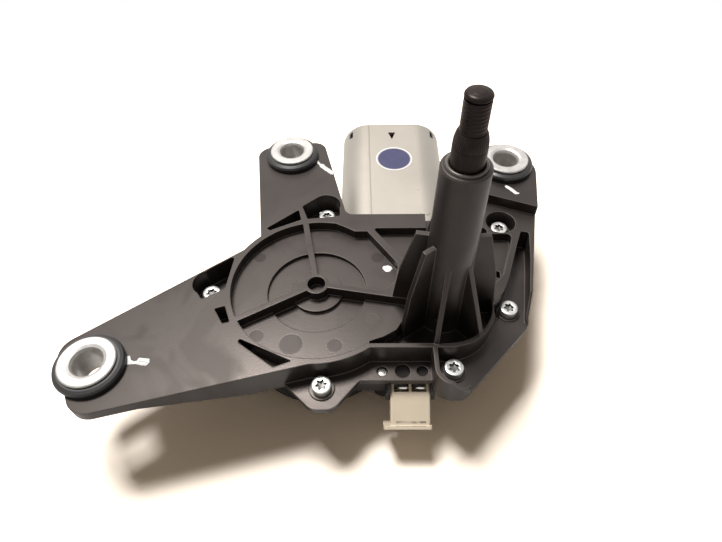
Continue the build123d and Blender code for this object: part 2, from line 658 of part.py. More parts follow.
def output_shaft():
    """The shaft: threaded stud, cone for the arm, journal, and the seat of the pinion."""
    seat = ARM_SEAT_Z
    tip = seat + THREAD_LENGTH
    collar_z = TOWER_TOP_Z + 0.2
    profile = [(0, SECTOR_BOTTOM_Z - 0.4), (PINION_SEAT_R, SECTOR_BOTTOM_Z - 0.4),
               (PINION_SEAT_R, SECTOR_TOP_Z), (SHAFT_R, SECTOR_TOP_Z), (SHAFT_R, collar_z),
               (COLLAR_R, collar_z + 0.4), (COLLAR_R, seat - CONE_LENGTH), (CONE_TOP_R, seat - 0.3),
               (CONE_TOP_R - 0.3, seat), (THREAD_R, seat), (THREAD_R, tip - 1.3),
               (THREAD_R - 0.9, tip - 0.3), (0, tip)]
    return turned(profile)


def output_pinion():
    """The pinion pressed on the foot of the shaft."""
    face = toothed_face(SECTOR_MODULE, PINION_TEETH, 25, SECTOR_BACKLASH, LINK_REST)
    face -= disc(PINION_SEAT_R + SEATED)
    return block(face, SECTOR_BOTTOM_Z, SECTOR_TOP_Z)


def tower_bush(bottom):
    """A plain bearing bush for the shaft."""
    return post(TOWER_BUSH_R, bottom, bottom + TOWER_BUSH_LENGTH, bore=SHAFT_R + RUNNING)


def tower_seal():
    """The lip seal in the mouth of the tower."""
    low = TOWER_TOP_Z - SEAL_DROP - SEAL_DEPTH
    high = low + SEAL_DEPTH
    lip = SHAFT_R + RUNNING
    profile = [(lip + 0.4, low), (TOWER_BUSH_R, low), (TOWER_BUSH_R, high - 1.4),
               (TOWER_BUSH_R - 0.5, high - 1.4), (TOWER_BUSH_R - 0.6, high), (lip + 0.4, high),
               (lip, high - 0.6), (lip, high - 2.0)]
    return turned(profile)


def thrust_washer():
    """The washer between the tower's foot and the link."""
    return post(SHAFT_R + 4, LINK_TOP_Z, WELL_CEILING_Z, bore=SHAFT_R + 0.2)


def link_plate():
    """The plate that swings about the shaft and carries the sector."""
    pivot = sector_pivot()
    face = disc(LINK_WIDTH / 2 + 1.5) + bar((0, 0), pivot, LINK_WIDTH) + disc(LINK_WIDTH / 2, pivot)
    face -= disc(SHAFT_R + RUNNING) + disc(LINK_PIN_R + SEATED, pivot)
    return block(face, LINK_BOTTOM_Z, LINK_TOP_Z)


def link_pin():
    """The headed pin that hangs the sector from the link."""
    return post(LINK_PIN_R, SECTOR_BOTTOM_Z - 0.8, LINK_TOP_Z, sector_pivot())


def crank_eye():
    """The far end of the sector lever at rest, in line with the wheel's centre."""
    pivot = sector_pivot()
    heading = math.degrees(math.atan2(WHEEL_Y - pivot[1], WHEEL_X - pivot[0]))
    return polar(LEVER_LENGTH, heading, pivot)


def sector_lever():
    """The lever with a toothed quadrant at the shaft and an eye at the wheel."""
    pivot = sector_pivot()
    eye = crank_eye()
    space = LINK_REST + 180
    pitch = 360 / SECTOR_TEETH
    first = space - 1.5 * pitch
    root_r = SECTOR_PITCH_R - 1.25 * SECTOR_MODULE
    points = [(0.0, 0.0), polar(root_r, first - pitch / 2)]
    for index in range(SECTOR_COPIES):
        points += tooth(SECTOR_MODULE, SECTOR_TEETH, 25, SECTOR_BACKLASH, first + index * pitch, 0.9)
    points.append(polar(root_r, first + (SECTOR_COPIES - 0.5) * pitch))
    face = Pos(*pivot) * make_face(Polyline(*points, close=True))
    face += disc(LEVER_WIDTH / 2 + 1.2, pivot) + bar(pivot, eye, LEVER_WIDTH - 2)
    face += disc(LEVER_WIDTH / 2, eye)
    face -= disc(LINK_PIN_R + RUNNING, pivot) + disc(CRANK_PIN_R + SEATED, eye)
    return block(face, SECTOR_BOTTOM_Z, SECTOR_TOP_Z)


def crank_pin():
    """The pin riveted in the lever's eye, ending just above the wheel."""
    return post(CRANK_PIN_R, CRANK_PIN_END_Z, SECTOR_TOP_Z, crank_eye())


# ---- Worm wheel and armature ---------------------------------------------------------------------
def worm_wheel():
    """The helical worm wheel with a raised hub that has the crank's socket."""
    lead = math.atan(WORM_MODULE / (2 * WORM_PITCH_R))
    twist = math.degrees(WHEEL_WIDTH * math.tan(lead) / WHEEL_PITCH_R)
    face = toothed_face(WORM_MODULE, WHEEL_TEETH, 20, WORM_BACKLASH, 180 / WHEEL_TEETH, 0.9, plain=True)
    low = Pos(0, 0, WHEEL_RIM_BOTTOM_Z) * Rot(0, 0, -twist / 2) * face
    high = Pos(0, 0, WHEEL_RIM_TOP_Z) * Rot(0, 0, twist / 2) * face
    body = loft([low, high], ruled=True)
    web = WHEEL_PITCH_R - 4
    ring = disc(web) - disc(WHEEL_HUB_R)
    body -= block(ring, WHEEL_RIM_TOP_Z - 2.2, WHEEL_RIM_TOP_Z + 1)
    body += post(WHEEL_HUB_R, WHEEL_RIM_TOP_Z - 3, WHEEL_TOP_Z)
    body = Pos(WHEEL_X, WHEEL_Y, 0) * body
    body -= post(AXLE_R + RUNNING, -HIGH, HIGH, WHEEL_CENTRE)
    socket = crank_eye()
    body -= post(CRANK_PIN_R + 0.3, WHEEL_TOP_Z - 4, HIGH, socket)
    return body


def park_disc():
    """The contact disc under the wheel, with a gap that marks the parked place."""
    face = disc(WHEEL_PITCH_R - 5) - disc(AXLE_R + 5)
    face -= bar((0, 0), polar(30, 200), 5) & disc(WHEEL_PITCH_R - 8)
    return Pos(WHEEL_X, WHEEL_Y, 0) * block(face, WHEEL_BOTTOM_Z, WHEEL_RIM_BOTTOM_Z)


def wheel_axle():
    """The axle pressed in the lower case."""
    return post(AXLE_R, FOOT_Z + 2, WHEEL_TOP_Z - 0.5, WHEEL_CENTRE)


def armature_shaft():
    """The motor's shaft with its worm."""
    start = -14.0
    end = CAN_END_Y - CAN_WALL - 2.0
    pitch = math.pi * WORM_MODULE
    root_r = WORM_PITCH_R - 1.2 * WORM_MODULE
    tip_r = WORM_PITCH_R + 0.9 * WORM_MODULE
    middle = pitch / 4 - WORM_BACKLASH / 4
    slope = math.tan(math.radians(20))
    foot = middle + (WORM_PITCH_R - root_r + 0.2) * slope
    crest = middle - (tip_r - WORM_PITCH_R) * slope
    turns = round(WORM_LENGTH / pitch / 2)
    rise = 2 * turns * pitch
    helix = Edge.make_helix(pitch, rise, WORM_PITCH_R)
    section = make_face(Plane.XZ * Polyline((root_r - 0.2, -foot), (tip_r, -crest), (tip_r, crest),
                                            (root_r - 0.2, foot), close=True))
    thread = sweep(section, path=helix, is_frenet=True)
    core = Pos(0, 0, -1) * Cylinder(root_r, rise + 2, align=(Align.CENTER, Align.CENTER, Align.MIN))
    worm = core + thread
    worm = Pos(MOTOR_X, WHEEL_Y - rise / 2, MOTOR_Z) * Rot(-90, 0, 0) * Rot(0, 0, 180) * worm
    return worm + rod(SPINDLE_R, start, WHEEL_Y) + rod(SPINDLE_R, WHEEL_Y, end)


def lamination_stack():
    """The slotted iron stack."""
    face = Circle(ARMATURE_R) - Circle(SPINDLE_R + SEATED)
    slot_r = ARMATURE_R * 0.68
    for index in range(POLES):
        turn = Rot(0, 0, index * 360 / POLES)
        face -= turn * Pos(ARMATURE_R, 0) * Rectangle(6, 1.6)
        face -= turn * Pos(slot_r, 0) * RectangleRounded(5.4, 4.6, 1.6)
    start = MOTOR_MOUTH_Y + STACK_START
    return along_motor(face, start, start + STACK_LENGTH)


def armature_winding():
    """The copper coils where they cross the ends of the stack."""
    start = MOTOR_MOUTH_Y + STACK_START
    ring = Circle(ARMATURE_R - 1.6) - Circle(SPINDLE_R + 2)
    front = along_motor(ring, start - 6, start - 0.05)
    back = along_motor(ring, start + STACK_LENGTH + 0.05, start + STACK_LENGTH + 6)
    front = chamfer(front.edges().filter_by(GeomType.CIRCLE).group_by(Axis.Y)[0], 1.8)
    back = chamfer(back.edges().filter_by(GeomType.CIRCLE).group_by(Axis.Y)[-1], 1.8)
    return Compound(children=[front, back])


def commutator():
    """The segmented copper collar that the brushes ride on."""
    face = Circle(COMMUTATOR_R) - Circle(SPINDLE_R + SEATED)
    for index in range(POLES):
        face -= Rot(0, 0, (index + 0.5) * 360 / POLES) * Pos(COMMUTATOR_R, 0) * Rectangle(2, 0.6)
    start = MOTOR_MOUTH_Y + COMMUTATOR_START
    return along_motor(face, start, start + COMMUTATOR_LENGTH)


def spindle_bush(start):
    """A bearing bush of the motor's shaft."""
    return rod(BUSH_R, start, start + BUSH_LENGTH, bore=SPINDLE_R + RUNNING)


def thrust_pad():
    """The pad that the worm's end bears on."""
    return rod(BUSH_R, -16, -14.1)


# ---- Motor ---------------------------------------------------------------------------------------
def can_face(inset=0.0):
    return RectangleRounded(CAN_WIDTH - 2 * inset, CAN_HEIGHT - 2 * inset, CAN_CORNER_R - inset)


def motor_can():
    """The drawn steel can, with its lancings near the closed end."""
    body = along_motor(can_face(), MOTOR_MOUTH_Y, CAN_END_Y)
    body = fillet(body.edges().group_by(Axis.Y)[-1], 3.0)
    body -= along_motor(can_face(CAN_WALL), MOTOR_MOUTH_Y - 1, CAN_END_Y - CAN_WALL)
    notch_y = CAN_END_Y - 9.0
    notch = make_face(Polyline((-2.0, 0), (2.0, 0), (0, -6), close=True))
    body -= Pos(MOTOR_X, notch_y, MOTOR_Z + CAN_HEIGHT / 2 - CAN_WALL - 1) * extrude(notch, 6, dir=(0, 0, 1))
    for side in (-1, 1):
        slot = Pos(MOTOR_X + side * 20.5, CAN_END_Y - 7, MOTOR_Z + 13) * Rot(0, side * 45, 0) * Box(1.4, 5, 8)
        body -= slot
    return body


def rear_bearing_holder():
    """The sprung cup that holds the rear bush against the can's end."""
    end = CAN_END_Y - CAN_WALL
    cup = rod(BUSH_R + 1.2, end - BUSH_LENGTH - 1.5, end, bore=BUSH_R + SEATED)
    flare = rod(BUSH_R + 4.0, end - 1.2, end, bore=BUSH_R + SEATED)
    return cup + flare


def magnet(side):
    """One of the two curved magnets bonded to the sides of the can."""
    start = MOTOR_MOUTH_Y + STACK_START - 2
    face = can_face(CAN_WALL + 0.05) - Circle(ARMATURE_R + AIR_GAP)
    face &= Pos(side * CAN_WIDTH / 2, 0) * Rectangle(CAN_WIDTH * 0.58, CAN_HEIGHT)
    return along_motor(face, start, start + STACK_LENGTH + 4)


def brush_card():
    """The card that closes the can's mouth and carries the brush gear."""
    face = can_face(CAN_WALL + 0.1) - Circle(COMMUTATOR_R + 2)
    return along_motor(face, MOTOR_MOUTH_Y + 0.1, MOTOR_MOUTH_Y + 2.5)


def brush(side):
    """A carbon brush against the commutator."""
    start = MOTOR_MOUTH_Y + COMMUTATOR_START + 3
    face = Pos(side * (COMMUTATOR_R + 3.6), 0) * Rectangle(7, 4) - Circle(COMMUTATOR_R + 0.1)
    return along_motor(face, start, start + 6)


def brush_arm(side):
    """The leaf spring that presses a brush, standing on the card."""
    outer = side * (COMMUTATOR_R + 7.5)
    foot_y = MOTOR_MOUTH_Y + 2.5
    tip_y = MOTOR_MOUTH_Y + COMMUTATOR_START + 9
    face = Pos(outer, 0) * Rectangle(0.7, 5)
    blade = along_motor(face, foot_y, tip_y)
    base = along_motor(Pos(outer + side * 2.2, 0) * Rectangle(4.4, 5), foot_y, foot_y + 0.7)
    return blade + base


def choke(side):
    """A suppression choke lying on the card."""
    place = Pos(side * 12, 11 if side > 0 else -11)
    return along_motor(place * Circle(2.6), MOTOR_MOUTH_Y + 2.5, MOTOR_MOUTH_Y + 15)


# ---- Electrics in the case -----------------------------------------------------------------------
def connector_shell():
    """The pale plug socket, with a lipped mouth and a notch in its top where the tabs go in."""
    body = along_connector(connector_box(), -9, CONNECTOR_REACH)
    lip = Pos(-1.0, -CONNECTOR_HEIGHT / 2) * RectangleRounded(LIP_WIDTH, CONNECTOR_HEIGHT + 1.4, 1.0)
    body += along_connector(lip, CONNECTOR_REACH - LIP_LENGTH, CONNECTOR_REACH)
    body &= Pos(0, -0.1, 0) * before_case()
    body -= along_connector(connector_box(-CONNECTOR_WALL), CONNECTOR_REACH - SOCKET_DEPTH, HIGH)
    notch = Pos(0, -1.8) * Rectangle(CONNECTOR_WIDTH - 2 * CONNECTOR_WALL, 5.6) - Rectangle(1.0, 20)
    body -= along_connector(notch, -HIGH, -0.3)
    for x in terminal_places():
        body -= Pos(x, TAB_END_Y + 0.5, TERMINAL_Z - 1.8) * Box(1.1, 1.1, 6.4)
        hole = Pos(x - CONNECTOR_X, -CONNECTOR_HEIGHT / 2) * Rectangle(1.1, 1.1)
        body -= along_connector(hole, 0, CONNECTOR_REACH - SOCKET_DEPTH + 1)
    return body


def terminal_places():
    """The X of each terminal."""
    return [CONNECTOR_X - TERMINAL_PITCH / 2, CONNECTOR_X + TERMINAL_PITCH / 2]


def beam(start, end, width=1.0, height=0.8):
    """A level strip of metal between two (x, y) points at the tabs' level."""
    return block(bar(start, end, width), TERMINAL_Z - height / 2, TERMINAL_Z + height / 2)


def connector_terminals():
    """Bent strips from the board, over the worm's bearing, through the wall and into the socket."""
    strips = []
    board_top = BOARD_Z + BOARD_THICKNESS
    for x, foot_x, turn_y in zip(terminal_places(), (-22.6, -20.6), (-22.2, -19.8)):
        riser = post(0.5, board_top, TERMINAL_Z + 0.4, (foot_x, RISER_Y))
        strip = riser + beam((foot_x, RISER_Y), (foot_x, turn_y - 0.5)) + beam((foot_x, turn_y), (x, turn_y))
        strip += beam((x, turn_y + 0.5), (x, TAB_END_Y), TERMINAL_TAB)
        strip += Pos(x, TAB_END_Y + 0.5, TERMINAL_Z - 1.85) * Box(1, 1, 4.5)
        pin = Pos(x - CONNECTOR_X, -CONNECTOR_HEIGHT / 2) * Rectangle(1, 1)
        strip += along_connector(pin, 0.4, CONNECTOR_REACH - 4)
        strips.append(strip)
    return Compound(children=strips)


def circuit_board():
    """The board on the case's floor, under the wheel, with a tail that carries the terminals."""
    under_wheel = Pos(-56, -8) * Rectangle(46, 50)
    tail = Pos(-32, -2.4) * Rectangle(26, 8.8)
    face = (under_wheel + tail) & offset(deep_face(), -0.8)
    face -= disc(AXLE_R + 4.2, WHEEL_CENTRE)
    return block(face, BOARD_Z, BOARD_Z + BOARD_THICKNESS)


def park_contacts():
    """Three spring fingers from the board to the contact disc."""
    fingers = []
    top = WHEEL_BOTTOM_Z - 0.1
    base = BOARD_Z + BOARD_THICKNESS
    for radius in (12.0, 16.0, 20.0):
        x = WHEEL_X - radius
        side = make_face(Polyline((0, base), (5, base), (5, base + 0.5), (1.2, base + 0.5), (12, top - 0.5),
                                  (13.5, top), (10.5, top), (0, base + 0.8), close=True))
        blade = extrude(Plane.YZ * side, amount=1.2, both=True)
        fingers.append(Pos(x, WHEEL_Y - 13, 0) * blade)
    return Compound(children=fingers)


PIECES = {
    "upper_housing": upper_housing,
    "lower_case": lower_case,
    "housing_seal": housing_seal,
    "housing_screws": housing_screws,
    "output_shaft": output_shaft,
    "output_pinion": output_pinion,
    "tower_bush_lower": lambda: tower_bush(WELL_CEILING_Z),
    "tower_bush_upper": lambda: tower_bush(TOWER_TOP_Z - SEAL_DROP - SEAL_DEPTH - TOWER_BUSH_LENGTH),
    "tower_seal": tower_seal,
    "thrust_washer": thrust_washer,
    "link_plate": link_plate,
    "link_pin": link_pin,
    "sector_lever": sector_lever,
    "crank_pin": crank_pin,
    "worm_wheel": worm_wheel,
    "park_disc": park_disc,
    "wheel_axle": wheel_axle,
    "armature_shaft": armature_shaft,
    "lamination_stack": lamination_stack,
    "armature_winding": armature_winding,
    "commutator": commutator,
    "front_bush": lambda: spindle_bush(-13.5),
    "middle_bush": lambda: spindle_bush(MOTOR_MOUTH_Y - BUSH_LENGTH - 2),
    "rear_bush": lambda: spindle_bush(CAN_END_Y - CAN_WALL - BUSH_LENGTH - 1.5),
    "thrust_pad": thrust_pad,
    "motor_can": motor_can,
    "rear_bearing_holder": rear_bearing_holder,
    "magnet_left": lambda: magnet(1),
    "magnet_right": lambda: magnet(-1),
    "brush_card": brush_card,
    "brush_left": lambda: brush(1),
    "brush_right": lambda: brush(-1),
    "brush_arm_left": lambda: brush_arm(1),
    "brush_arm_right": lambda: brush_arm(-1),
    "choke_left": lambda: choke(1),
    "choke_right": lambda: choke(-1),
    "connector_shell": connector_shell,
    "connector_terminals": connector_terminals,
    "circuit_board": circuit_board,
    "park_contacts": park_contacts,
}

for place, spot in BUSHES.items():
    save(f"grommet_{place}", grommet(*spot))
    save(f"sleeve_{place}", sleeve(*spot))
for name, make in PIECES.items():
    save(name, make())
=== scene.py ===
"""Rear wiper motor: finishes, small details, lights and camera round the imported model."""
import json
import math
import random

import bmesh
import bpy
from mathutils import Matrix, Vector


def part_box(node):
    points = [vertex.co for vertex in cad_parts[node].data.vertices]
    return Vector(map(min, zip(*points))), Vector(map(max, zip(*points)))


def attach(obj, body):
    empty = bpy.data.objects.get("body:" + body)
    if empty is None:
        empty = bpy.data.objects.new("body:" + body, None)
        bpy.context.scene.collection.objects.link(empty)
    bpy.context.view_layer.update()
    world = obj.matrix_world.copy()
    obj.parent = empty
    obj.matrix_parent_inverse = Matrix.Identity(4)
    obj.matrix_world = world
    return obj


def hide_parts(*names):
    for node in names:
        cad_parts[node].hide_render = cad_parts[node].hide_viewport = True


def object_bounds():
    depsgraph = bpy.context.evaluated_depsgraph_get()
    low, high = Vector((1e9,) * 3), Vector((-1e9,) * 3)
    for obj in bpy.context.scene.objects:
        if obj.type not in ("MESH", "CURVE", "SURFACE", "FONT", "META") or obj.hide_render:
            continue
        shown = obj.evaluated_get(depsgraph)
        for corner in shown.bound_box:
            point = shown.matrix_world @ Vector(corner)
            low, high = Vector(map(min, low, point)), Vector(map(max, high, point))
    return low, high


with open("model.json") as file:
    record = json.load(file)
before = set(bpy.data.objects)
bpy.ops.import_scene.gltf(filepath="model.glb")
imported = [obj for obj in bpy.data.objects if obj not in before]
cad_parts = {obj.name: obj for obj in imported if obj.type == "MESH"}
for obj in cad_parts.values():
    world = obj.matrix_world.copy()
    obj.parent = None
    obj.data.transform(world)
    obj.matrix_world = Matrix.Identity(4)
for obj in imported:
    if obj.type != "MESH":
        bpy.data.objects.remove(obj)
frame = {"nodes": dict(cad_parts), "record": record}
cad_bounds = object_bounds()

MM = 0.001
ARM_SEAT = 80.0           # the origin's height over the housing's rim, in millimetres


def at(x, y, z=0.0):
    """A place given in millimetres from the output shaft's axis and the housing's rim."""
    return Vector((x * MM, y * MM, (z - ARM_SEAT) * MM))


# ---- Shader helpers ------------------------------------------------------------------------------
def new_node(tree, kind, **settings):
    node = tree.nodes.new(kind)
    for name, value in settings.items():
        setattr(node, name, value)
    return node


def ramp(tree, source, stops):
    """A colour ramp with (position, colour) stops, fed by a socket."""
    node = new_node(tree, "ShaderNodeValToRGB")
    tree.links.new(source, node.inputs[0])
    elements = node.color_ramp.elements
    while len(elements) < len(stops):
        elements.new(0.5)
    for element, (position, value) in zip(elements, stops):
        element.position = position
        element.color = (value, value, value, 1) if isinstance(value, (int, float)) else (*value, 1)
    return node


def noise(tree, vector, scale, detail=3.0, rough=0.5, distortion=0.0):
    node = new_node(tree, "ShaderNodeTexNoise")
    node.inputs["Scale"].default_value = scale
    node.inputs["Detail"].default_value = detail
    node.inputs["Roughness"].default_value = rough
    node.inputs["Distortion"].default_value = distortion
    tree.links.new(vector, node.inputs["Vector"])
    return node


def math_node(tree, operation, first, second=None):
    node = new_node(tree, "ShaderNodeMath", operation=operation)
    for socket, value in zip(node.inputs, (first, second)):
        if isinstance(value, (int, float)):
            socket.default_value = value
        elif value is not None:
            tree.links.new(value, socket)
    return node.outputs[0]


def vector_node(tree, operation, first, second=None):
    node = new_node(tree, "ShaderNodeVectorMath", operation=operation)
    for socket, value in zip(node.inputs, (first, second)):
        if isinstance(value, (tuple, Vector)):
            socket.default_value = value
        elif value is not None:
            tree.links.new(value, socket)
    return node


def mix_colours(tree, factor, first, second):
    """A colour between two sockets or plain colours."""
    # a colour mix takes its factor at input 0 and its colours at 6 and 7, and gives at output 2
    node = new_node(tree, "ShaderNodeMix", data_type="RGBA")
    for socket, value in ((node.inputs[0], factor), (node.inputs[6], first), (node.inputs[7], second)):
        if isinstance(value, (int, float)):
            socket.default_value = value
        elif isinstance(value, tuple):
            socket.default_value = (*value, 1)
        else:
            tree.links.new(value, socket)
    return node.outputs[2]


def new_group(name, inputs, outputs):
    """An empty shader group with its sockets: (name, kind, default)."""
    group = bpy.data.node_groups.new(name, "ShaderNodeTree")
    for label, kind, default in inputs:
        socket = group.interface.new_socket(label, in_out="INPUT", socket_type=kind)
        if default is not None:
            socket.default_value = default
    for label, kind in outputs:
        group.interface.new_socket(label, in_out="OUTPUT", socket_type=kind)
    return group, group.nodes.new("NodeGroupInput"), group.nodes.new("NodeGroupOutput")


def make_surface_group():
    """Moulding grain, cloudy tone, broad smears and an edge mask that every finish shares; the mask carries
    edge wear and painted edge highlights.
    """
    group, inlet, outlet = new_group(
        "surface_life",
        [("Grain Scale", "NodeSocketFloat", 900.0), ("Cloud Scale", "NodeSocketFloat", 60.0),
         ("Edge Size", "NodeSocketFloat", 0.0004)],
        [("Grain", "NodeSocketFloat"), ("Cloud", "NodeSocketFloat"), ("Smear", "NodeSocketFloat"),
         ("Edge", "NodeSocketFloat"), ("Normal", "NodeSocketVector")])
    place = new_node(group, "ShaderNodeTexCoord").outputs["Object"]
    grain = noise(group, place, 900, 2)
    group.links.new(inlet.outputs["Grain Scale"], grain.inputs["Scale"])
    cloud = noise(group, place, 60, 4, 0.6)
    group.links.new(inlet.outputs["Cloud Scale"], cloud.inputs["Scale"])
    smear = noise(group, place, 24, 3, 0.55, 1.2)
    group.links.new(math_node(group, "MULTIPLY", inlet.outputs["Cloud Scale"], 0.4), smear.inputs["Scale"])
    bevel = new_node(group, "ShaderNodeBevel", samples=6)
    group.links.new(inlet.outputs["Edge Size"], bevel.inputs["Radius"])
    true_normal = new_node(group, "ShaderNodeNewGeometry").outputs["True Normal"]
    facing = vector_node(group, "DOT_PRODUCT", bevel.outputs[0], true_normal)
    edge = ramp(group, facing.outputs["Value"], [(0.70, 1.0), (0.97, 0.0)])
    group.links.new(grain.outputs[0], outlet.inputs["Grain"])
    group.links.new(cloud.outputs[0], outlet.inputs["Cloud"])
    group.links.new(smear.outputs[0], outlet.inputs["Smear"])
    group.links.new(edge.outputs[0], outlet.inputs["Edge"])
    group.links.new(bevel.outputs[0], outlet.inputs["Normal"])
    return group


def make_spot_group():
    """A round spot on a surface: 1 inside the radius of a place, and a thin line round it."""
    group, inlet, outlet = new_group(
        "round_spot",
        [("Place", "NodeSocketVector", None), ("Radius", "NodeSocketFloat", 0.003)],
        [("Disc", "NodeSocketFloat"), ("Line", "NodeSocketFloat")])
    place = new_node(group, "ShaderNodeTexCoord").outputs["Object"]
    away = vector_node(group, "DISTANCE", place, inlet.outputs["Place"]).outputs["Value"]
    share = math_node(group, "DIVIDE", away, inlet.outputs["Radius"])
    disc = ramp(group, share, [(0.90, 1.0), (1.0, 0.0)])
    line = ramp(group, share, [(0.84, 0.0), (0.92, 1.0), (1.0, 0.0)])
    group.links.new(disc.outputs[0], outlet.inputs["Disc"])
    group.links.new(line.outputs[0], outlet.inputs["Line"])
    return group


SURFACE = make_surface_group()
SPOT = make_spot_group()


def spot(tree, x, y, z, radius):
    """A spot group at a place in millimetres."""
    node = new_node(tree, "ShaderNodeGroup", node_tree=SPOT)
    node.inputs["Place"].default_value = at(x, y, z)
    node.inputs["Radius"].default_value = radius * MM
    return node


def together(tree, sockets):
    """The greatest of several masks."""
    total = sockets[0]
    for socket in sockets[1:]:
        total = math_node(tree, "MAXIMUM", total, socket)
    return total


def finish_of(name, base, dark, edge_colour, edge_amount=0.4, metallic=0.0, rough=(0.4, 0.55),
              grain_scale=900.0, cloud_scale=60.0, edge_size=0.0004, bump=0.15, specular=0.5,
              gloss_tint=(1.0, 1.0, 1.0), rounded=True, details=None):
    """A finish whose colour drifts from dark to base, with lighter edges, which are partly wear and partly
    painted highlight, and a fine grain.

    rounded=False is for pieces whose own mesh has its rounds. details(tree, colour, shine, height) may lay
    marks over the colour, roughness and relief."""
    material = bpy.data.materials.new(name)
    material.use_nodes = True
    tree = material.node_tree
    shader = tree.nodes["Principled BSDF"]
    life = new_node(tree, "ShaderNodeGroup", node_tree=SURFACE)
    life.inputs["Grain Scale"].default_value = grain_scale
    life.inputs["Cloud Scale"].default_value = cloud_scale
    life.inputs["Edge Size"].default_value = edge_size
    cloud = ramp(tree, life.outputs["Cloud"], [(0.3, dark), (0.7, base)])
    # The edge colour is laid along the edges, or over smears on pieces without rounds; it is edge wear, and
    # on the housing also a painted highlight.
    if rounded:
        wear_and_highlight = life.outputs["Edge"]
    else:
        wear_and_highlight = ramp(tree, life.outputs["Smear"], [(0.5, 0.0), (0.8, 1.0)]).outputs[0]
    wear_and_highlight = math_node(tree, "MULTIPLY", wear_and_highlight, edge_amount)
    colour = mix_colours(tree, wear_and_highlight, cloud.outputs[0], edge_colour)
    shine = ramp(tree, life.outputs["Smear"], [(0.36, rough[0]), (0.60, rough[1])]).outputs[0]
    height = life.outputs["Grain"]
    if details:
        colour, shine, height = details(tree, colour, shine, height)
    tree.links.new(colour, shader.inputs["Base Color"])
    tree.links.new(shine, shader.inputs["Roughness"])
    shader.inputs["Metallic"].default_value = metallic
    shader.inputs["Specular IOR Level"].default_value = specular
    shader.inputs["Specular Tint"].default_value = (*gloss_tint, 1)
    relief = new_node(tree, "ShaderNodeBump")
    relief.inputs["Strength"].default_value = bump
    relief.inputs["Distance"].default_value = 0.0001
    tree.links.new(height, relief.inputs["Height"])
    if rounded:
        tree.links.new(life.outputs["Normal"], relief.inputs["Normal"])
    tree.links.new(relief.outputs[0], shader.inputs["Normal"])
    return material


# ---- Marks that belong to one finish -------------------------------------------------------------
# Places and radii are in millimetres, in the same frame as at().
SUNK_FLOOR = -4.4
EJECTOR_PINS = [(-72.2, -12.7, 2.9), (-41.8, -16.9, 2.9), (-28.0, -5.0, 2.9), (-25.1, 26.8, 2.9),
                (-47.5, 37.5, 2.6), (-75.5, 27.0, 2.6), (-58.6, -16.3, 4.6)]
LEDGE_HOLES = [(-24.0, 3.1), (-16.3, 3.7), (-8.9, 3.2)]
LEDGE_HOLES_Y = -24.8
LEDGE_HOLE_FLOOR = -11.9
LEDGE_SHADE = -13.6               # the shade's centre, so low that it leaves the ledge's top alone

# The seam's dark line on the can is painted shade along the fold.
SEAM = (-26.56, 0.0146)           # its x beside the shaft, and its lean for each millimetre along the can
SEAM_FOOT = -13.0
CAN_SCUFFS = [(-23.9, 57.6, 1.0), (-1.2, 58.2, 1.6), (-3.6, 58.8, 1.0), (-4.2, 74.4, 0.45)]
CAN_TOP = -9.0
SHOULDER_SLOTS = [(x, y, -12.6) for x in (-38.2, 6.2) for y in (122.0, 124.0)]
SHOULDER_SLOT_R = 1.5

LABEL_PLACE = (-15.4, 98.5)
LABEL_R = 9.35
LABEL_FACE_R = 8.95

SOCKET_X = -13.2
SOCKET_GROOVE = -22.9
SOCKET_GROOVE_HALF = 5.6
SOCKET_FRONT = -39.0


def placed(tree):
    """An object's own coordinates: the vector, then its X, Y and Z."""
    place = new_node(tree, "ShaderNodeTexCoord").outputs["Object"]
    split = new_node(tree, "ShaderNodeSeparateXYZ")
    tree.links.new(place, split.inputs[0])
    return place, split.outputs["X"], split.outputs["Y"], split.outputs["Z"]


def distance_in_mm(tree, first, second):
    """How far a socket's value lies from a second value, in millimetres."""
    gap = math_node(tree, "ABSOLUTE", math_node(tree, "SUBTRACT", first, second))
    return math_node(tree, "MULTIPLY", gap, 1 / MM)


def housing_marks(tree, colour, shine, height):
    """Round ejector marks on the sunk floor, and shade in the blind holes of the ledge."""
    marks = [spot(tree, x, y, SUNK_FLOOR, radius) for x, y, radius in EJECTOR_PINS]
    discs = together(tree, [mark.outputs["Disc"] for mark in marks])
    lines = together(tree, [mark.outputs["Line"] for mark in marks])
    holes = together(tree, [spot(tree, x, LEDGE_HOLES_Y, LEDGE_SHADE, radius).outputs["Disc"]
                            for x, radius in LEDGE_HOLES])
    colour = mix_colours(tree, math_node(tree, "MULTIPLY", discs, 0.35), colour, (0.010, 0.009, 0.008))
    colour = mix_colours(tree, holes, colour, (0.004, 0.004, 0.004))
    shine = math_node(tree, "ADD", shine, math_node(tree, "MULTIPLY", discs, 0.18))
    shine = math_node(tree, "ADD", shine, math_node(tree, "MULTIPLY", holes, 0.4))
    height = math_node(tree, "SUBTRACT", height, math_node(tree, "MULTIPLY", lines, 0.8))
    return colour, shine, height


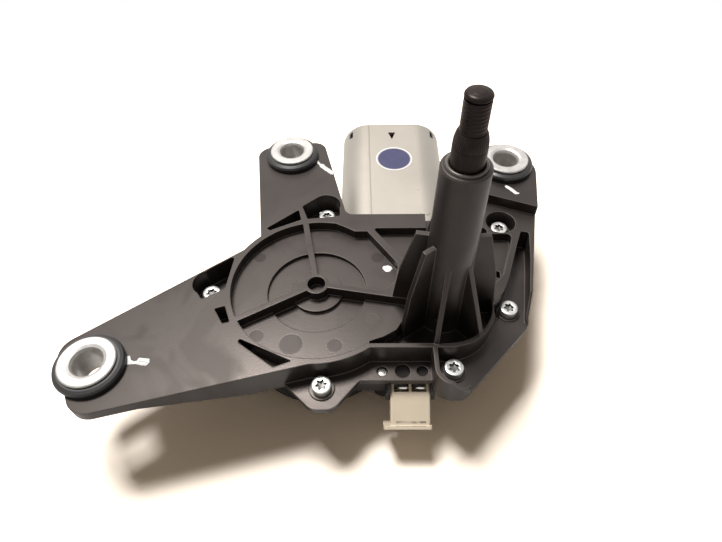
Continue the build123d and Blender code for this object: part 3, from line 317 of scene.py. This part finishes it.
def can_marks(tree, colour, shine, height):
    """The rolled seam along the can's top, sunk in relief and darkened with painted shade along the fold,
    faint scuffs near its mouth and painted shade in its two slots.
    """
    place, across, along, up = placed(tree)
    wave = noise(tree, place, 90, 2)
    drift = math_node(tree, "MULTIPLY", math_node(tree, "SUBTRACT", wave.outputs[0], 0.5), 0.9 * MM)
    leaning = math_node(tree, "ADD", across, math_node(tree, "MULTIPLY", along, SEAM[1]))
    from_seam = distance_in_mm(tree, math_node(tree, "ADD", leaning, drift), SEAM[0] * MM)
    line = ramp(tree, from_seam, [(0.12, 1.0), (0.5, 0.0)]).outputs[0]
    line = math_node(tree, "MULTIPLY", line, math_node(tree, "GREATER_THAN", up, at(0, 0, SEAM_FOOT).z))
    scuffs = together(tree, [spot(tree, x, y, CAN_TOP, radius).outputs["Disc"]
                             for x, y, radius in CAN_SCUFFS])
    scuffs = math_node(tree, "MULTIPLY", scuffs, math_node(tree, "GREATER_THAN", wave.outputs[0], 0.46))
    # Along the seam this darkening is painted shade; over the scuffs it is the can's own marks.
    dark = together(tree, [math_node(tree, "MULTIPLY", line, 0.62), math_node(tree, "MULTIPLY", scuffs, 0.5)])
    colour = mix_colours(tree, dark, colour, (0.20, 0.17, 0.13))
    slots = together(tree, [spot(tree, *slot, SHOULDER_SLOT_R).outputs["Disc"] for slot in SHOULDER_SLOTS])
    colour = mix_colours(tree, slots, colour, (0.012, 0.011, 0.010))
    height = math_node(tree, "SUBTRACT", height, math_node(tree, "MULTIPLY", line, 2.0))
    return colour, shine, height


def shell_marks(tree, colour, shine, height):
    """A broken shadow line along the groove over the socket's lip."""
    place, across, along, up = placed(tree)
    off_line = distance_in_mm(tree, up, at(0, 0, SOCKET_GROOVE).z)
    off_middle = distance_in_mm(tree, across, at(SOCKET_X, 0).x)
    line = ramp(tree, off_line, [(0.12, 1.0), (0.34, 0.0)]).outputs[0]
    line = math_node(tree, "MULTIPLY", line, math_node(tree, "LESS_THAN", off_middle, SOCKET_GROOVE_HALF))
    line = math_node(tree, "MULTIPLY", line, math_node(tree, "LESS_THAN", along, at(0, SOCKET_FRONT).y))
    broken = ramp(tree, noise(tree, place, 500, 2).outputs[0], [(0.36, 0.25), (0.55, 0.85)]).outputs[0]
    colour = mix_colours(tree, math_node(tree, "MULTIPLY", line, broken), colour, (0.10, 0.08, 0.06))
    return colour, shine, height


def label_face(tree, colour, shine, height):
    """A round blue face inside a white border."""
    face = spot(tree, *LABEL_PLACE, CAN_TOP + 0.1, LABEL_FACE_R)
    cloud = noise(tree, new_node(tree, "ShaderNodeTexCoord").outputs["Object"], 260, 3)
    blue = ramp(tree, cloud.outputs[0], [(0.3, (0.022, 0.023, 0.082)), (0.7, (0.036, 0.036, 0.120))])
    return mix_colours(tree, face.outputs["Disc"], colour, blue.outputs[0]), shine, height


# The housing's light edge colour, strongly laid on, is a painted highlight along the rounded edges as well as
# edge wear.
HOUSING_PLASTIC = finish_of("housing_plastic", (0.020, 0.0165, 0.0148), (0.012, 0.0098, 0.0088),
                            (0.27, 0.24, 0.22), 0.8, rough=(0.30, 0.47), grain_scale=1400, edge_size=0.0006,
                            bump=0.2, specular=0.45, gloss_tint=(1.0, 0.88, 0.82), details=housing_marks)
CASE_PLASTIC = finish_of("case_plastic", (0.024, 0.021, 0.020), (0.016, 0.014, 0.0135),
                         (0.07, 0.065, 0.06), 0.4, rough=(0.42, 0.56), grain_scale=1400, bump=0.25,
                         specular=0.3)
GROMMET_RUBBER = finish_of("grommet_rubber", (0.020, 0.0185, 0.0175), (0.013, 0.012, 0.011),
                           (0.05, 0.048, 0.045), 0.3, rough=(0.34, 0.48), grain_scale=2500, bump=0.1)
LIP_RUBBER = finish_of("lip_rubber", (0.105, 0.092, 0.082), (0.070, 0.060, 0.052), (0.16, 0.14, 0.12), 0.4,
                       rough=(0.24, 0.36), grain_scale=2500, cloud_scale=200, bump=0.1, rounded=False)
ZINC = finish_of("zinc_plate", (0.57, 0.555, 0.535), (0.44, 0.425, 0.41), (0.68, 0.67, 0.645), 0.5,
                 metallic=0.5, rough=(0.34, 0.50), cloud_scale=260, bump=0.1)
# A zinc darkened as painted shade, laid in the screws' recesses.
RECESS_SHADE_ZINC = finish_of("recess_painted_shade", (0.16, 0.157, 0.15), (0.08, 0.078, 0.075), (0.3, 0.3, 0.29), 0.3,
                        metallic=0.5, rough=(0.4, 0.55), cloud_scale=500, bump=0.1, rounded=False)
SCREW_ZINC = finish_of("screw_zinc", (0.66, 0.65, 0.63), (0.54, 0.53, 0.515), (0.80, 0.79, 0.77), 0.5,
                       metallic=0.65, rough=(0.26, 0.38), cloud_scale=500, bump=0.06, rounded=False)
CAN_STEEL = finish_of("can_steel", (0.425, 0.393, 0.347), (0.375, 0.345, 0.302), (0.62, 0.59, 0.545), 0.3,
                      metallic=0.55, rough=(0.34, 0.44), cloud_scale=30, bump=0.05, details=can_marks)
SHAFT_STEEL = finish_of("shaft_steel", (0.018, 0.0132, 0.0122), (0.008, 0.006, 0.0056), (0.05, 0.040, 0.036),
                        0.5, metallic=0.4, rough=(0.34, 0.50), cloud_scale=220, bump=0.1, specular=0.2,
                        gloss_tint=(1.0, 0.85, 0.80), rounded=False)
CREAM = finish_of("cream_plastic", (0.70, 0.61, 0.475), (0.65, 0.56, 0.435), (0.90, 0.84, 0.73), 0.6,
                  rough=(0.33, 0.43), cloud_scale=80, bump=0.1, details=shell_marks)
BRONZE = finish_of("sintered_bronze", (0.5, 0.34, 0.18), (0.38, 0.25, 0.13), (0.65, 0.5, 0.3), 0.3,
                   metallic=0.8, rough=(0.45, 0.6), grain_scale=2200)
GEAR_STEEL = finish_of("gear_steel", (0.42, 0.41, 0.40), (0.3, 0.29, 0.28), (0.6, 0.6, 0.6), 0.4,
                       metallic=0.9, rough=(0.35, 0.5), grain_scale=1800)
BRIGHT_STEEL = finish_of("bright_steel", (0.62, 0.62, 0.61), (0.5, 0.5, 0.5), (0.75, 0.75, 0.75), 0.4,
                         metallic=0.95, rough=(0.22, 0.35))
BRASS = finish_of("contact_brass", (0.78, 0.6, 0.27), (0.62, 0.46, 0.2), (0.9, 0.76, 0.4), 0.4,
                  metallic=0.9, rough=(0.3, 0.42))
TINNED = finish_of("tinned_brass", (0.86, 0.84, 0.80), (0.74, 0.71, 0.66), (0.95, 0.94, 0.92), 0.4,
                   metallic=0.8, rough=(0.16, 0.26), cloud_scale=300, rounded=False)
COPPER = finish_of("copper_wire", (0.7, 0.3, 0.15), (0.5, 0.2, 0.1), (0.85, 0.45, 0.28), 0.4,
                   metallic=0.85, rough=(0.28, 0.4), grain_scale=700, bump=0.5)
IRON = finish_of("stack_iron", (0.2, 0.2, 0.2), (0.13, 0.13, 0.13), (0.3, 0.3, 0.3), 0.4,
                 metallic=0.7, rough=(0.45, 0.6), grain_scale=1800)
FERRITE = finish_of("ferrite", (0.11, 0.11, 0.115), (0.08, 0.08, 0.085), (0.2, 0.2, 0.2), 0.4,
                    rough=(0.5, 0.7), grain_scale=1800)
RESIN = finish_of("resin_board", (0.3, 0.2, 0.1), (0.22, 0.15, 0.08), (0.4, 0.3, 0.18), 0.3,
                  rough=(0.4, 0.55))
ACETAL = finish_of("acetal", (0.84, 0.81, 0.73), (0.76, 0.73, 0.65), (0.95, 0.93, 0.88), 0.4,
                   rough=(0.3, 0.45))
CARBON = finish_of("carbon", (0.05, 0.05, 0.05), (0.035, 0.035, 0.035), (0.1, 0.1, 0.1), 0.3,
                   rough=(0.5, 0.7))
PAINT = finish_of("marking_paint", (0.86, 0.85, 0.84), (0.70, 0.69, 0.68), (0.92, 0.92, 0.92), 0.3,
                  rough=(0.4, 0.55), cloud_scale=500, grain_scale=2600, bump=0.5, rounded=False)
LABEL = finish_of("label_film", (0.88, 0.87, 0.85), (0.82, 0.81, 0.80), (0.92, 0.92, 0.92), 0.3,
                  rough=(0.38, 0.46), cloud_scale=120, bump=0.03, rounded=False, details=label_face)

FINISHES = {
    "black_plastic": HOUSING_PLASTIC, "gasket_rubber": GROMMET_RUBBER, "black_rubber": GROMMET_RUBBER,
    "zinc_steel": ZINC, "can_steel": CAN_STEEL, "bright_steel": BRIGHT_STEEL, "dark_steel": SHAFT_STEEL,
    "gear_steel": GEAR_STEEL, "bearing_bronze": BRONZE, "gear_plastic": ACETAL, "contact_brass": BRASS,
    "stack_iron": IRON, "copper": COPPER, "magnet_ferrite": FERRITE, "card_resin": RESIN,
    "carbon": CARBON, "cream_plastic": CREAM,
}


def dress_nodes():
    """Give every carried-over piece its finish."""
    for entry in frame["record"]["subparts"]:
        node = frame["nodes"][entry["node"]]
        node.data.materials.clear()
        node.data.materials.append(FINISHES[entry["material_slot"]])
    frame["nodes"]["lower_case"].data.materials[0] = CASE_PLASTIC
    frame["nodes"]["connector_terminals"].data.materials[0] = TINNED


dress_nodes()


# ---- Making pieces -------------------------------------------------------------------------------
def finish_piece(shape, name, material, body, sharp):
    """A mesh in place becomes a piece that rides on a body, smooth but for edges over sharp degrees."""
    bmesh.ops.remove_doubles(shape, verts=shape.verts, dist=1e-6)
    bmesh.ops.recalc_face_normals(shape, faces=shape.faces)
    mesh = bpy.data.meshes.new(name)
    shape.to_mesh(mesh)
    shape.free()
    mesh.shade_smooth()
    mesh.set_sharp_from_angle(angle=math.radians(sharp))
    mesh.materials.append(material)
    piece = bpy.data.objects.new(name, mesh)
    bpy.context.collection.objects.link(piece)
    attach(piece, body)
    return piece


def ring(shape, edges, radius, z, centre, lobes=0.0, turn=0.0):
    """Extrude a loop of edges and lay the new loop on a circle, with six lobes if asked."""
    new = bmesh.ops.extrude_edge_only(shape, edges=edges)["geom"]
    lay_ring([v for v in new if isinstance(v, bmesh.types.BMVert)], radius, z, centre, lobes, turn)
    return [e for e in new if isinstance(e, bmesh.types.BMEdge)]


def lay_ring(verts, radius, z, centre, lobes=0.0, turn=0.0):
    """Lay vertices on a circle at a height over its centre, with six lobes if asked."""
    for vert in verts:
        angle = math.atan2(vert.co.y - centre.y, vert.co.x - centre.x)
        reach = radius * (1 + lobes * math.cos(6 * (angle - turn))) * MM
        vert.co = centre + Vector((math.cos(angle) * reach, math.sin(angle) * reach, z * MM))


def start_ring(shape, radius, z, centre, segments, lobes=0.0, turn=0.0):
    """A first loop of edges, with no face in it, to extrude from."""
    start = bmesh.ops.create_circle(shape, segments=segments, radius=radius * MM,
                                    matrix=Matrix.Translation(centre))
    lay_ring(start["verts"], radius, z, centre, lobes, turn)
    return list({edge for vert in start["verts"] for edge in vert.link_edges})


# ---- Screws --------------------------------------------------------------------------------------
# x, y, the seat under the head, and the turn of the recess in radians
SCREWS = [(-46.4, -32.2, -9.5, 0.25), (2.6, -25.2, -9.5, 0.45), (27.4, 1.8, -9.5, 0.1),
          (29.3, 43.3, -6.4, 0.3), (-48.1, 54.7, -9.5, 0.15), (-94.0, 10.0, -9.5, 0.35)]
HEAD_R = 3.6
HEAD = 3.0
STEM_R = 2.0
SCREW_FOOT = -19.4        # the level that every stem reaches
RECESS_R = 1.8
RECESS_LOBES = 0.19
RECESS_DEPTH = 1.5


def add_screw(shape, x, y, seat, turn):
    """A pan-head screw with a six-lobed recess, whose walls and floor take the second material, a zinc
    darkened as painted shade.
    """
    centre = at(x, y, seat)
    others = set(shape.faces)
    lip = start_ring(shape, RECESS_R, HEAD - 0.1, centre, 48, RECESS_LOBES, turn)
    wall = ring(shape, lip, RECESS_R - 0.12, HEAD - RECESS_DEPTH + 0.2, centre, RECESS_LOBES, turn)
    floor = ring(shape, wall, 0.9, HEAD - RECESS_DEPTH, centre)
    bmesh.ops.contextual_create(shape, geom=floor)
    recess = set(shape.faces) - others
    for radius, z in ((2.35, HEAD), (HEAD_R - 0.45, HEAD), (HEAD_R - 0.12, HEAD - 0.16),
                      (HEAD_R, HEAD - 0.42), (HEAD_R, 0.15), (HEAD_R - 0.15, 0), (STEM_R, 0),
                      (STEM_R, SCREW_FOOT - seat), (1.2, SCREW_FOOT - seat)):
        lip = ring(shape, lip, radius, z, centre)
    bmesh.ops.contextual_create(shape, geom=lip)
    for face in recess:
        face.material_index = 1


def add_screws():
    """All six screws as one piece, in place of the plain ones."""
    shape = bmesh.new()
    for place in SCREWS:
        add_screw(shape, *place)
    piece = finish_piece(shape, "lobed_screws", SCREW_ZINC, "housing", sharp=30)
    # The second material paints shade into the recesses.
    piece.data.materials.append(RECESS_SHADE_ZINC)
    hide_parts("housing_screws")


# ---- Output shaft --------------------------------------------------------------------------------
THREAD_START = 80.2
THREAD_END = 90.3
PITCH = 1.25
THREAD_ROOT_R = 3.80
THREAD_CREST_R = 3.92
SHAFT_R = 5.0
JOURNAL_R = 4.0


def spin_profile(shape, profile, steps=64):
    """Turn a line of (radius, height) points round the shaft's axis."""
    verts = [shape.verts.new(at(radius, 0, z)) for radius, z in profile]
    edges = [shape.edges.new(pair) for pair in zip(verts, verts[1:])]
    bmesh.ops.spin(shape, geom=verts + edges, cent=(0, 0, 0), axis=(0, 0, 1), angle=math.tau,
                   steps=steps, use_merge=True)


def add_thread():
    """A rolled M8 thread: one pitch of its outline spun upwards turn after turn, then cut level."""
    shape = bmesh.new()
    low = THREAD_START - PITCH
    outline = [(THREAD_ROOT_R, 0.0), (THREAD_ROOT_R, 0.12), (THREAD_CREST_R, 0.34),
               (THREAD_CREST_R, 0.92), (THREAD_ROOT_R, 1.12), (THREAD_ROOT_R, PITCH)]
    verts = [shape.verts.new(at(radius, 0, low + z)) for radius, z in outline]
    edges = [shape.edges.new(pair) for pair in zip(verts, verts[1:])]
    turns = math.ceil((THREAD_END - low) / PITCH) + 1
    steps = 40
    bmesh.ops.spin(shape, geom=verts + edges, cent=(0, 0, 0), axis=(0, 0, 1), angle=math.tau * turns,
                   dvec=(0, 0, PITCH * MM / steps), steps=steps * turns)
    bmesh.ops.remove_doubles(shape, verts=shape.verts, dist=2e-6)
    for z, side in ((THREAD_START, -1), (THREAD_END, 1)):
        cut = bmesh.ops.bisect_plane(shape, geom=shape.verts[:] + shape.edges[:] + shape.faces[:], dist=1e-7,
                                     plane_co=at(0, 0, z), plane_no=(0, 0, side), clear_outer=True)
        bmesh.ops.contextual_create(
            shape, geom=[e for e in cut["geom_cut"] if isinstance(e, bmesh.types.BMEdge)])
    finish_piece(shape, "stud_thread", SHAFT_STEEL, "output", sharp=40)


def add_knurl(name, profile, depth, teeth):
    """A turned band with fine straight teeth."""
    shape = bmesh.new()
    spin_profile(shape, profile, teeth * 2)
    for vert in shape.verts:
        reach = math.hypot(vert.co.x, vert.co.y)
        if reach < 1e-5:
            continue
        tooth = round(math.atan2(vert.co.y, vert.co.x) / math.tau * teeth * 2) % 2
        if tooth:
            vert.co.x *= 1 - depth * MM / reach
            vert.co.y *= 1 - depth * MM / reach
    finish_piece(shape, name, SHAFT_STEEL, "output", sharp=20)


def add_spindle():
    """The shaft with its journal, collar, domed end and the groove under it."""
    shape = bmesh.new()
    spin_profile(shape, [
        (0, -19.1), (JOURNAL_R - 0.1, -19.1), (JOURNAL_R, -19.0), (JOURNAL_R, -13.2),
        (SHAFT_R, -13.2), (SHAFT_R, 68.2), (5.05, 68.6), (4.9, 68.7), (4.9, 75.4),
        (3.6, 80.1), (3.35, THREAD_START - 0.05), (3.35, THREAD_END),
        (3.5, THREAD_END + 0.05), (3.5, 90.75), (3.85, 90.85), (3.98, 91.0), (4.0, 91.2), (3.93, 91.5),
        (3.7, 91.85), (3.3, 92.1), (2.6, 92.27), (2.1, 92.33), (1.9, 92.42), (1.2, 92.48), (0, 92.5)])
    piece = finish_piece(shape, "spindle", SHAFT_STEEL, "output", sharp=40)
    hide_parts("output_shaft")
    add_knurl("knurled_cone", [(0, 75.1), (5.2, 75.1), (5.2, 76.2), (5.1, 77.1), (4.88, 78.3), (4.6, 79.3),
                               (4.35, 79.9), (4.1, 80.15), (0, 80.2)], depth=0.09, teeth=44)
    add_knurl("knurled_collar", [(4.8, 68.65), (5.15, 68.65), (5.25, 68.85), (5.25, 74.7), (5.15, 75.0),
                                 (4.8, 75.0)], depth=0.04, teeth=56)
    add_thread()


# ---- Marks and labels ----------------------------------------------------------------------------
def dab(shape, blobs, level, dice):
    """A flat dab of paint over a chain of (x, y, radius) blobs, each a little thicker than the last."""
    corners_round = 10
    height = 0.04
    for first, second in zip(blobs, blobs[1:]):
        height += 0.02
        corners = []
        for x, y, radius in (first, second):
            for step in range(corners_round):
                angle = step * math.tau / corners_round
                reach = radius * dice.uniform(0.8, 1.12)
                for lift, shrink in ((-0.02, 1.0), (height, 0.9)):
                    across = math.cos(angle) * reach * shrink
                    along = math.sin(angle) * reach * shrink
                    corners.append(shape.verts.new(at(x + across, y + along, level + lift)))
        hull = bmesh.ops.convex_hull(shape, input=corners)
        spare = {v for v in hull["geom_interior"] + hull["geom_unused"] if isinstance(v, bmesh.types.BMVert)}
        bmesh.ops.delete(shape, geom=list(spare), context="VERTS")


RIM = 0.0                 # the left and top arms are level with it
RIGHT_PAD = 5.2
# the dab's name, the level it lies on, and its blobs
PAINT_DABS = [
    ("paint_left", RIM, [(-116.6, -24.6, 0.75), (-115.9, -26.6, 1.0), (-114.0, -26.9, 0.55),
                         (-112.8, -26.6, 0.6), (-112.2, -25.6, 0.8), (-109.4, -26.0, 0.9)]),
    ("paint_left_tail", RIM, [(-113.2, -27.0, 0.55), (-109.6, -27.3, 0.75), (-109.0, -26.4, 0.7)]),
    ("paint_top", RIM, [(-54.0, 85.6, 0.9), (-52.6, 83.6, 0.5), (-51.4, 82.4, 1.2), (-48.6, 79.4, 1.2),
                        (-46.5, 77.0, 1.3), (-45.3, 77.6, 0.7)]),
    ("paint_right", RIGHT_PAD, [(33.9, 60.6, 0.9), (35.4, 58.9, 1.0), (37.4, 56.2, 0.9), (38.3, 56.2, 0.5)]),
    ("paint_dot", SUNK_FLOOR, [(-21.2, 20.7, 1.8), (-20.8, 20.5, 1.8)]),
    ("paint_fleck", SUNK_FLOOR, [(-16.9, 26.6, 0.7), (-16.4, 25.4, 0.5)]),
]


def add_paint():
    """The dabs of marking paint, each a piece."""
    dice = random.Random(7)
    for name, level, blobs in PAINT_DABS:
        shape = bmesh.new()
        dab(shape, blobs, level, dice)
        finish_piece(shape, name, PAINT, "housing", sharp=60)


def add_label():
    """A round self-adhesive label on the can's flat top."""
    shape = bmesh.new()
    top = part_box("motor_can")[1].z
    low = Vector((LABEL_PLACE[0] * MM, LABEL_PLACE[1] * MM, top - 0.02 * MM))
    bmesh.ops.create_circle(shape, cap_ends=True, segments=72, radius=LABEL_R * MM,
                            matrix=Matrix.Translation(low))
    film = bmesh.ops.extrude_face_region(shape, geom=shape.faces[:])["geom"]
    bmesh.ops.translate(shape, vec=(0, 0, 0.12 * MM),
                        verts=[part for part in film if isinstance(part, bmesh.types.BMVert)])
    finish_piece(shape, "round_label", LABEL, "housing", sharp=30)


def add_dust_lip():
    """The soft lip between the shaft and the tower's mouth."""
    shape = bmesh.new()
    spin_profile(shape, [(5.38, 67.5), (5.38, 68.4), (5.5, 68.7), (5.8, 68.9), (6.25, 68.9), (6.5, 68.7),
                         (6.6, 68.4), (6.6, 67.5)])
    finish_piece(shape, "dust_lip", LIP_RUBBER, "housing", sharp=50)


def add_rivet():
    """The bright end of a contact, seen in the first blind hole of the ledge."""
    shape = bmesh.new()
    centre = at(LEDGE_HOLES[0][0], LEDGE_HOLES_Y, LEDGE_HOLE_FLOOR)
    loop = start_ring(shape, 1.9, -0.1, centre, 32)
    for radius, z in ((1.9, 0.35), (1.75, 0.55), (1.2, 0.75), (0.5, 0.82)):
        loop = ring(shape, loop, radius, z, centre)
    bmesh.ops.contextual_create(shape, geom=loop)
    finish_piece(shape, "contact_end", TINNED, "housing", sharp=50)


CONTACT_HUMPS = [(-15.7, -27.9, -17.5), (-8.9, -27.9, -17.5)]
HUMP_REACH = (2.4, 1.0, 0.9)      # half its size along x, y and z


def add_contact_humps():
    """The two bright humps of the contacts, seen between the ledge and the plug's socket."""
    shape = bmesh.new()
    for place in CONTACT_HUMPS:
        bmesh.ops.create_uvsphere(
            shape, u_segments=32, v_segments=16, radius=MM,
            matrix=Matrix.Translation(at(*place)) @ Matrix.Diagonal((*HUMP_REACH, 1)))
    finish_piece(shape, "contact_humps", TINNED, "housing", sharp=60)


add_screws()
add_spindle()
add_paint()
add_label()
add_rivet()
add_contact_humps()
add_dust_lip()


# ---- Floor, lights and camera --------------------------------------------------------------------
FLOOR_TINT = (0.90, 0.885, 0.865)
FLOOR_SEEN = (1.64, 1.50, 1.34)   # the floor's tint to the camera, over-exposed where it is lit
FLOOR_FADE = (0.26, 0.42)         # metres from the shaft between which the floor turns plain white
FLOOR_REACH = 6.0                 # metres
FLOOR_GAP = 0.0002                # metres under the part's lowest point
ROOM_TINT = (1.0, 0.83, 0.64)
ROOM_LEVEL = 0.14


def seen_directly(tree):
    """1 for rays that look at the room, straight or by reflection, and 0 for those that light the part."""
    rays = new_node(tree, "ShaderNodeLightPath").outputs
    return together(tree, [rays[kind] for kind in ("Is Camera Ray", "Is Glossy Ray", "Is Transmission Ray")])


def lay_floor():
    """A pale floor with the part's shadow on it, plain white far out and clear from below."""
    low = cad_bounds[0][2] - FLOOR_GAP
    shape = bmesh.new()
    bmesh.ops.create_grid(shape, x_segments=1, y_segments=1, size=FLOOR_REACH)
    mesh = bpy.data.meshes.new("floor")
    shape.to_mesh(mesh)
    shape.free()
    floor = bpy.data.objects.new("floor", mesh)
    floor.location = (0, 0, low)
    bpy.context.collection.objects.link(floor)
    material = bpy.data.materials.new("pale_floor")
    material.use_nodes = True
    tree = material.node_tree
    shader = tree.nodes["Principled BSDF"]
    camera_ray = new_node(tree, "ShaderNodeLightPath").outputs["Is Camera Ray"]
    tree.links.new(mix_colours(tree, camera_ray, FLOOR_TINT, FLOOR_SEEN), shader.inputs["Base Color"])
    place = new_node(tree, "ShaderNodeTexCoord").outputs["Object"]
    away = vector_node(tree, "LENGTH", place).outputs["Value"]
    far = ramp(tree, away, [(FLOOR_FADE[0], 0.0), (FLOOR_FADE[1], 1.0)]).outputs[0]
    white = new_node(tree, "ShaderNodeEmission")
    faded = new_node(tree, "ShaderNodeMixShader")
    tree.links.new(math_node(tree, "MULTIPLY", far, seen_directly(tree)), faded.inputs[0])
    tree.links.new(shader.outputs[0], faded.inputs[1])
    tree.links.new(white.outputs[0], faded.inputs[2])
    clear = new_node(tree, "ShaderNodeBsdfTransparent")
    sided = new_node(tree, "ShaderNodeMixShader")
    tree.links.new(new_node(tree, "ShaderNodeNewGeometry").outputs["Backfacing"], sided.inputs[0])
    tree.links.new(faded.outputs[0], sided.inputs[1])
    tree.links.new(clear.outputs[0], sided.inputs[2])
    tree.links.new(sided.outputs[0], tree.nodes["Material Output"].inputs["Surface"])
    shader.inputs["Roughness"].default_value = 0.7
    shader.inputs["Specular IOR Level"].default_value = 0.1
    mesh.materials.append(material)


def light_room():
    """A plain pale room: white to the eye, with a soft warm light on the part."""
    world = bpy.data.worlds.new("room")
    bpy.context.scene.world = world
    world.use_nodes = True
    tree = world.node_tree
    tree.nodes.clear()
    seen = seen_directly(tree)
    back = new_node(tree, "ShaderNodeBackground")
    tree.links.new(mix_colours(tree, seen, ROOM_TINT, (1.0, 1.0, 1.0)), back.inputs["Color"])
    strength = math_node(tree, "MAXIMUM", seen, ROOM_LEVEL)
    tree.links.new(strength, back.inputs["Strength"])
    out = new_node(tree, "ShaderNodeOutputWorld")
    tree.links.new(back.outputs[0], out.inputs[0])


def hang_lamp(name, place, aim, size, power, colour, only_gloss=False):
    """A soft rectangular lamp at a place in metres, turned to aim at another.

    only_gloss=True gives a pane that shows in reflections and lights nothing else."""
    lamp = bpy.data.lights.new(name, "AREA")
    lamp.shape = "RECTANGLE"
    lamp.size, lamp.size_y = size
    lamp.energy = power
    lamp.color = colour
    holder = bpy.data.objects.new(name, lamp)
    holder.location = place
    holder.rotation_euler = (Vector(aim) - Vector(place)).to_track_quat("-Z", "Y").to_euler()
    holder.visible_diffuse = not only_gloss
    bpy.context.collection.objects.link(holder)


CAMERA_PLACE = at(-29.2, -125.3, 171.3)
CAMERA_LENS = 27.0        # on a 36 mm frame
CAMERA_DIP = math.radians(50.54)
CAMERA_ROLL = math.radians(1.15)
CAMERA_YAW = math.radians(-1.16)


def stand_camera():
    """The camera in front of the part, looking down on it."""
    ahead = Vector((math.sin(CAMERA_YAW) * math.cos(CAMERA_DIP), math.cos(CAMERA_YAW) * math.cos(CAMERA_DIP),
                    -math.sin(CAMERA_DIP)))
    right = Vector((math.cos(CAMERA_YAW), -math.sin(CAMERA_YAW), 0))
    down = ahead.cross(right)
    across = right * math.cos(CAMERA_ROLL) + down * math.sin(CAMERA_ROLL)
    below = down * math.cos(CAMERA_ROLL) - right * math.sin(CAMERA_ROLL)
    turn = Matrix((across, -below, -ahead)).transposed().to_4x4()
    data = bpy.data.cameras.new("view")
    data.lens = CAMERA_LENS
    data.sensor_width = 36.0
    data.sensor_fit = "HORIZONTAL"
    data.clip_start = 0.01
    camera = bpy.data.objects.new("view", data)
    camera.matrix_world = Matrix.Translation(CAMERA_PLACE) @ turn
    bpy.context.collection.objects.link(camera)
    bpy.context.scene.camera = camera


lay_floor()
light_room()
hang_lamp("window_high", place=(-0.29, 0.36, 1.07), aim=(-0.05, 0.01, -0.08), size=(0.42, 0.32),
          power=20.5, colour=(1.0, 0.975, 0.95))
hang_lamp("window_far", place=(-0.08, 1.25, 0.80), aim=(-0.04, 0.02, -0.08), size=(0.9, 0.5),
          power=1.4, colour=(1.0, 0.93, 0.88), only_gloss=True)
stand_camera()
bpy.context.scene.view_settings.view_transform = "Standard"
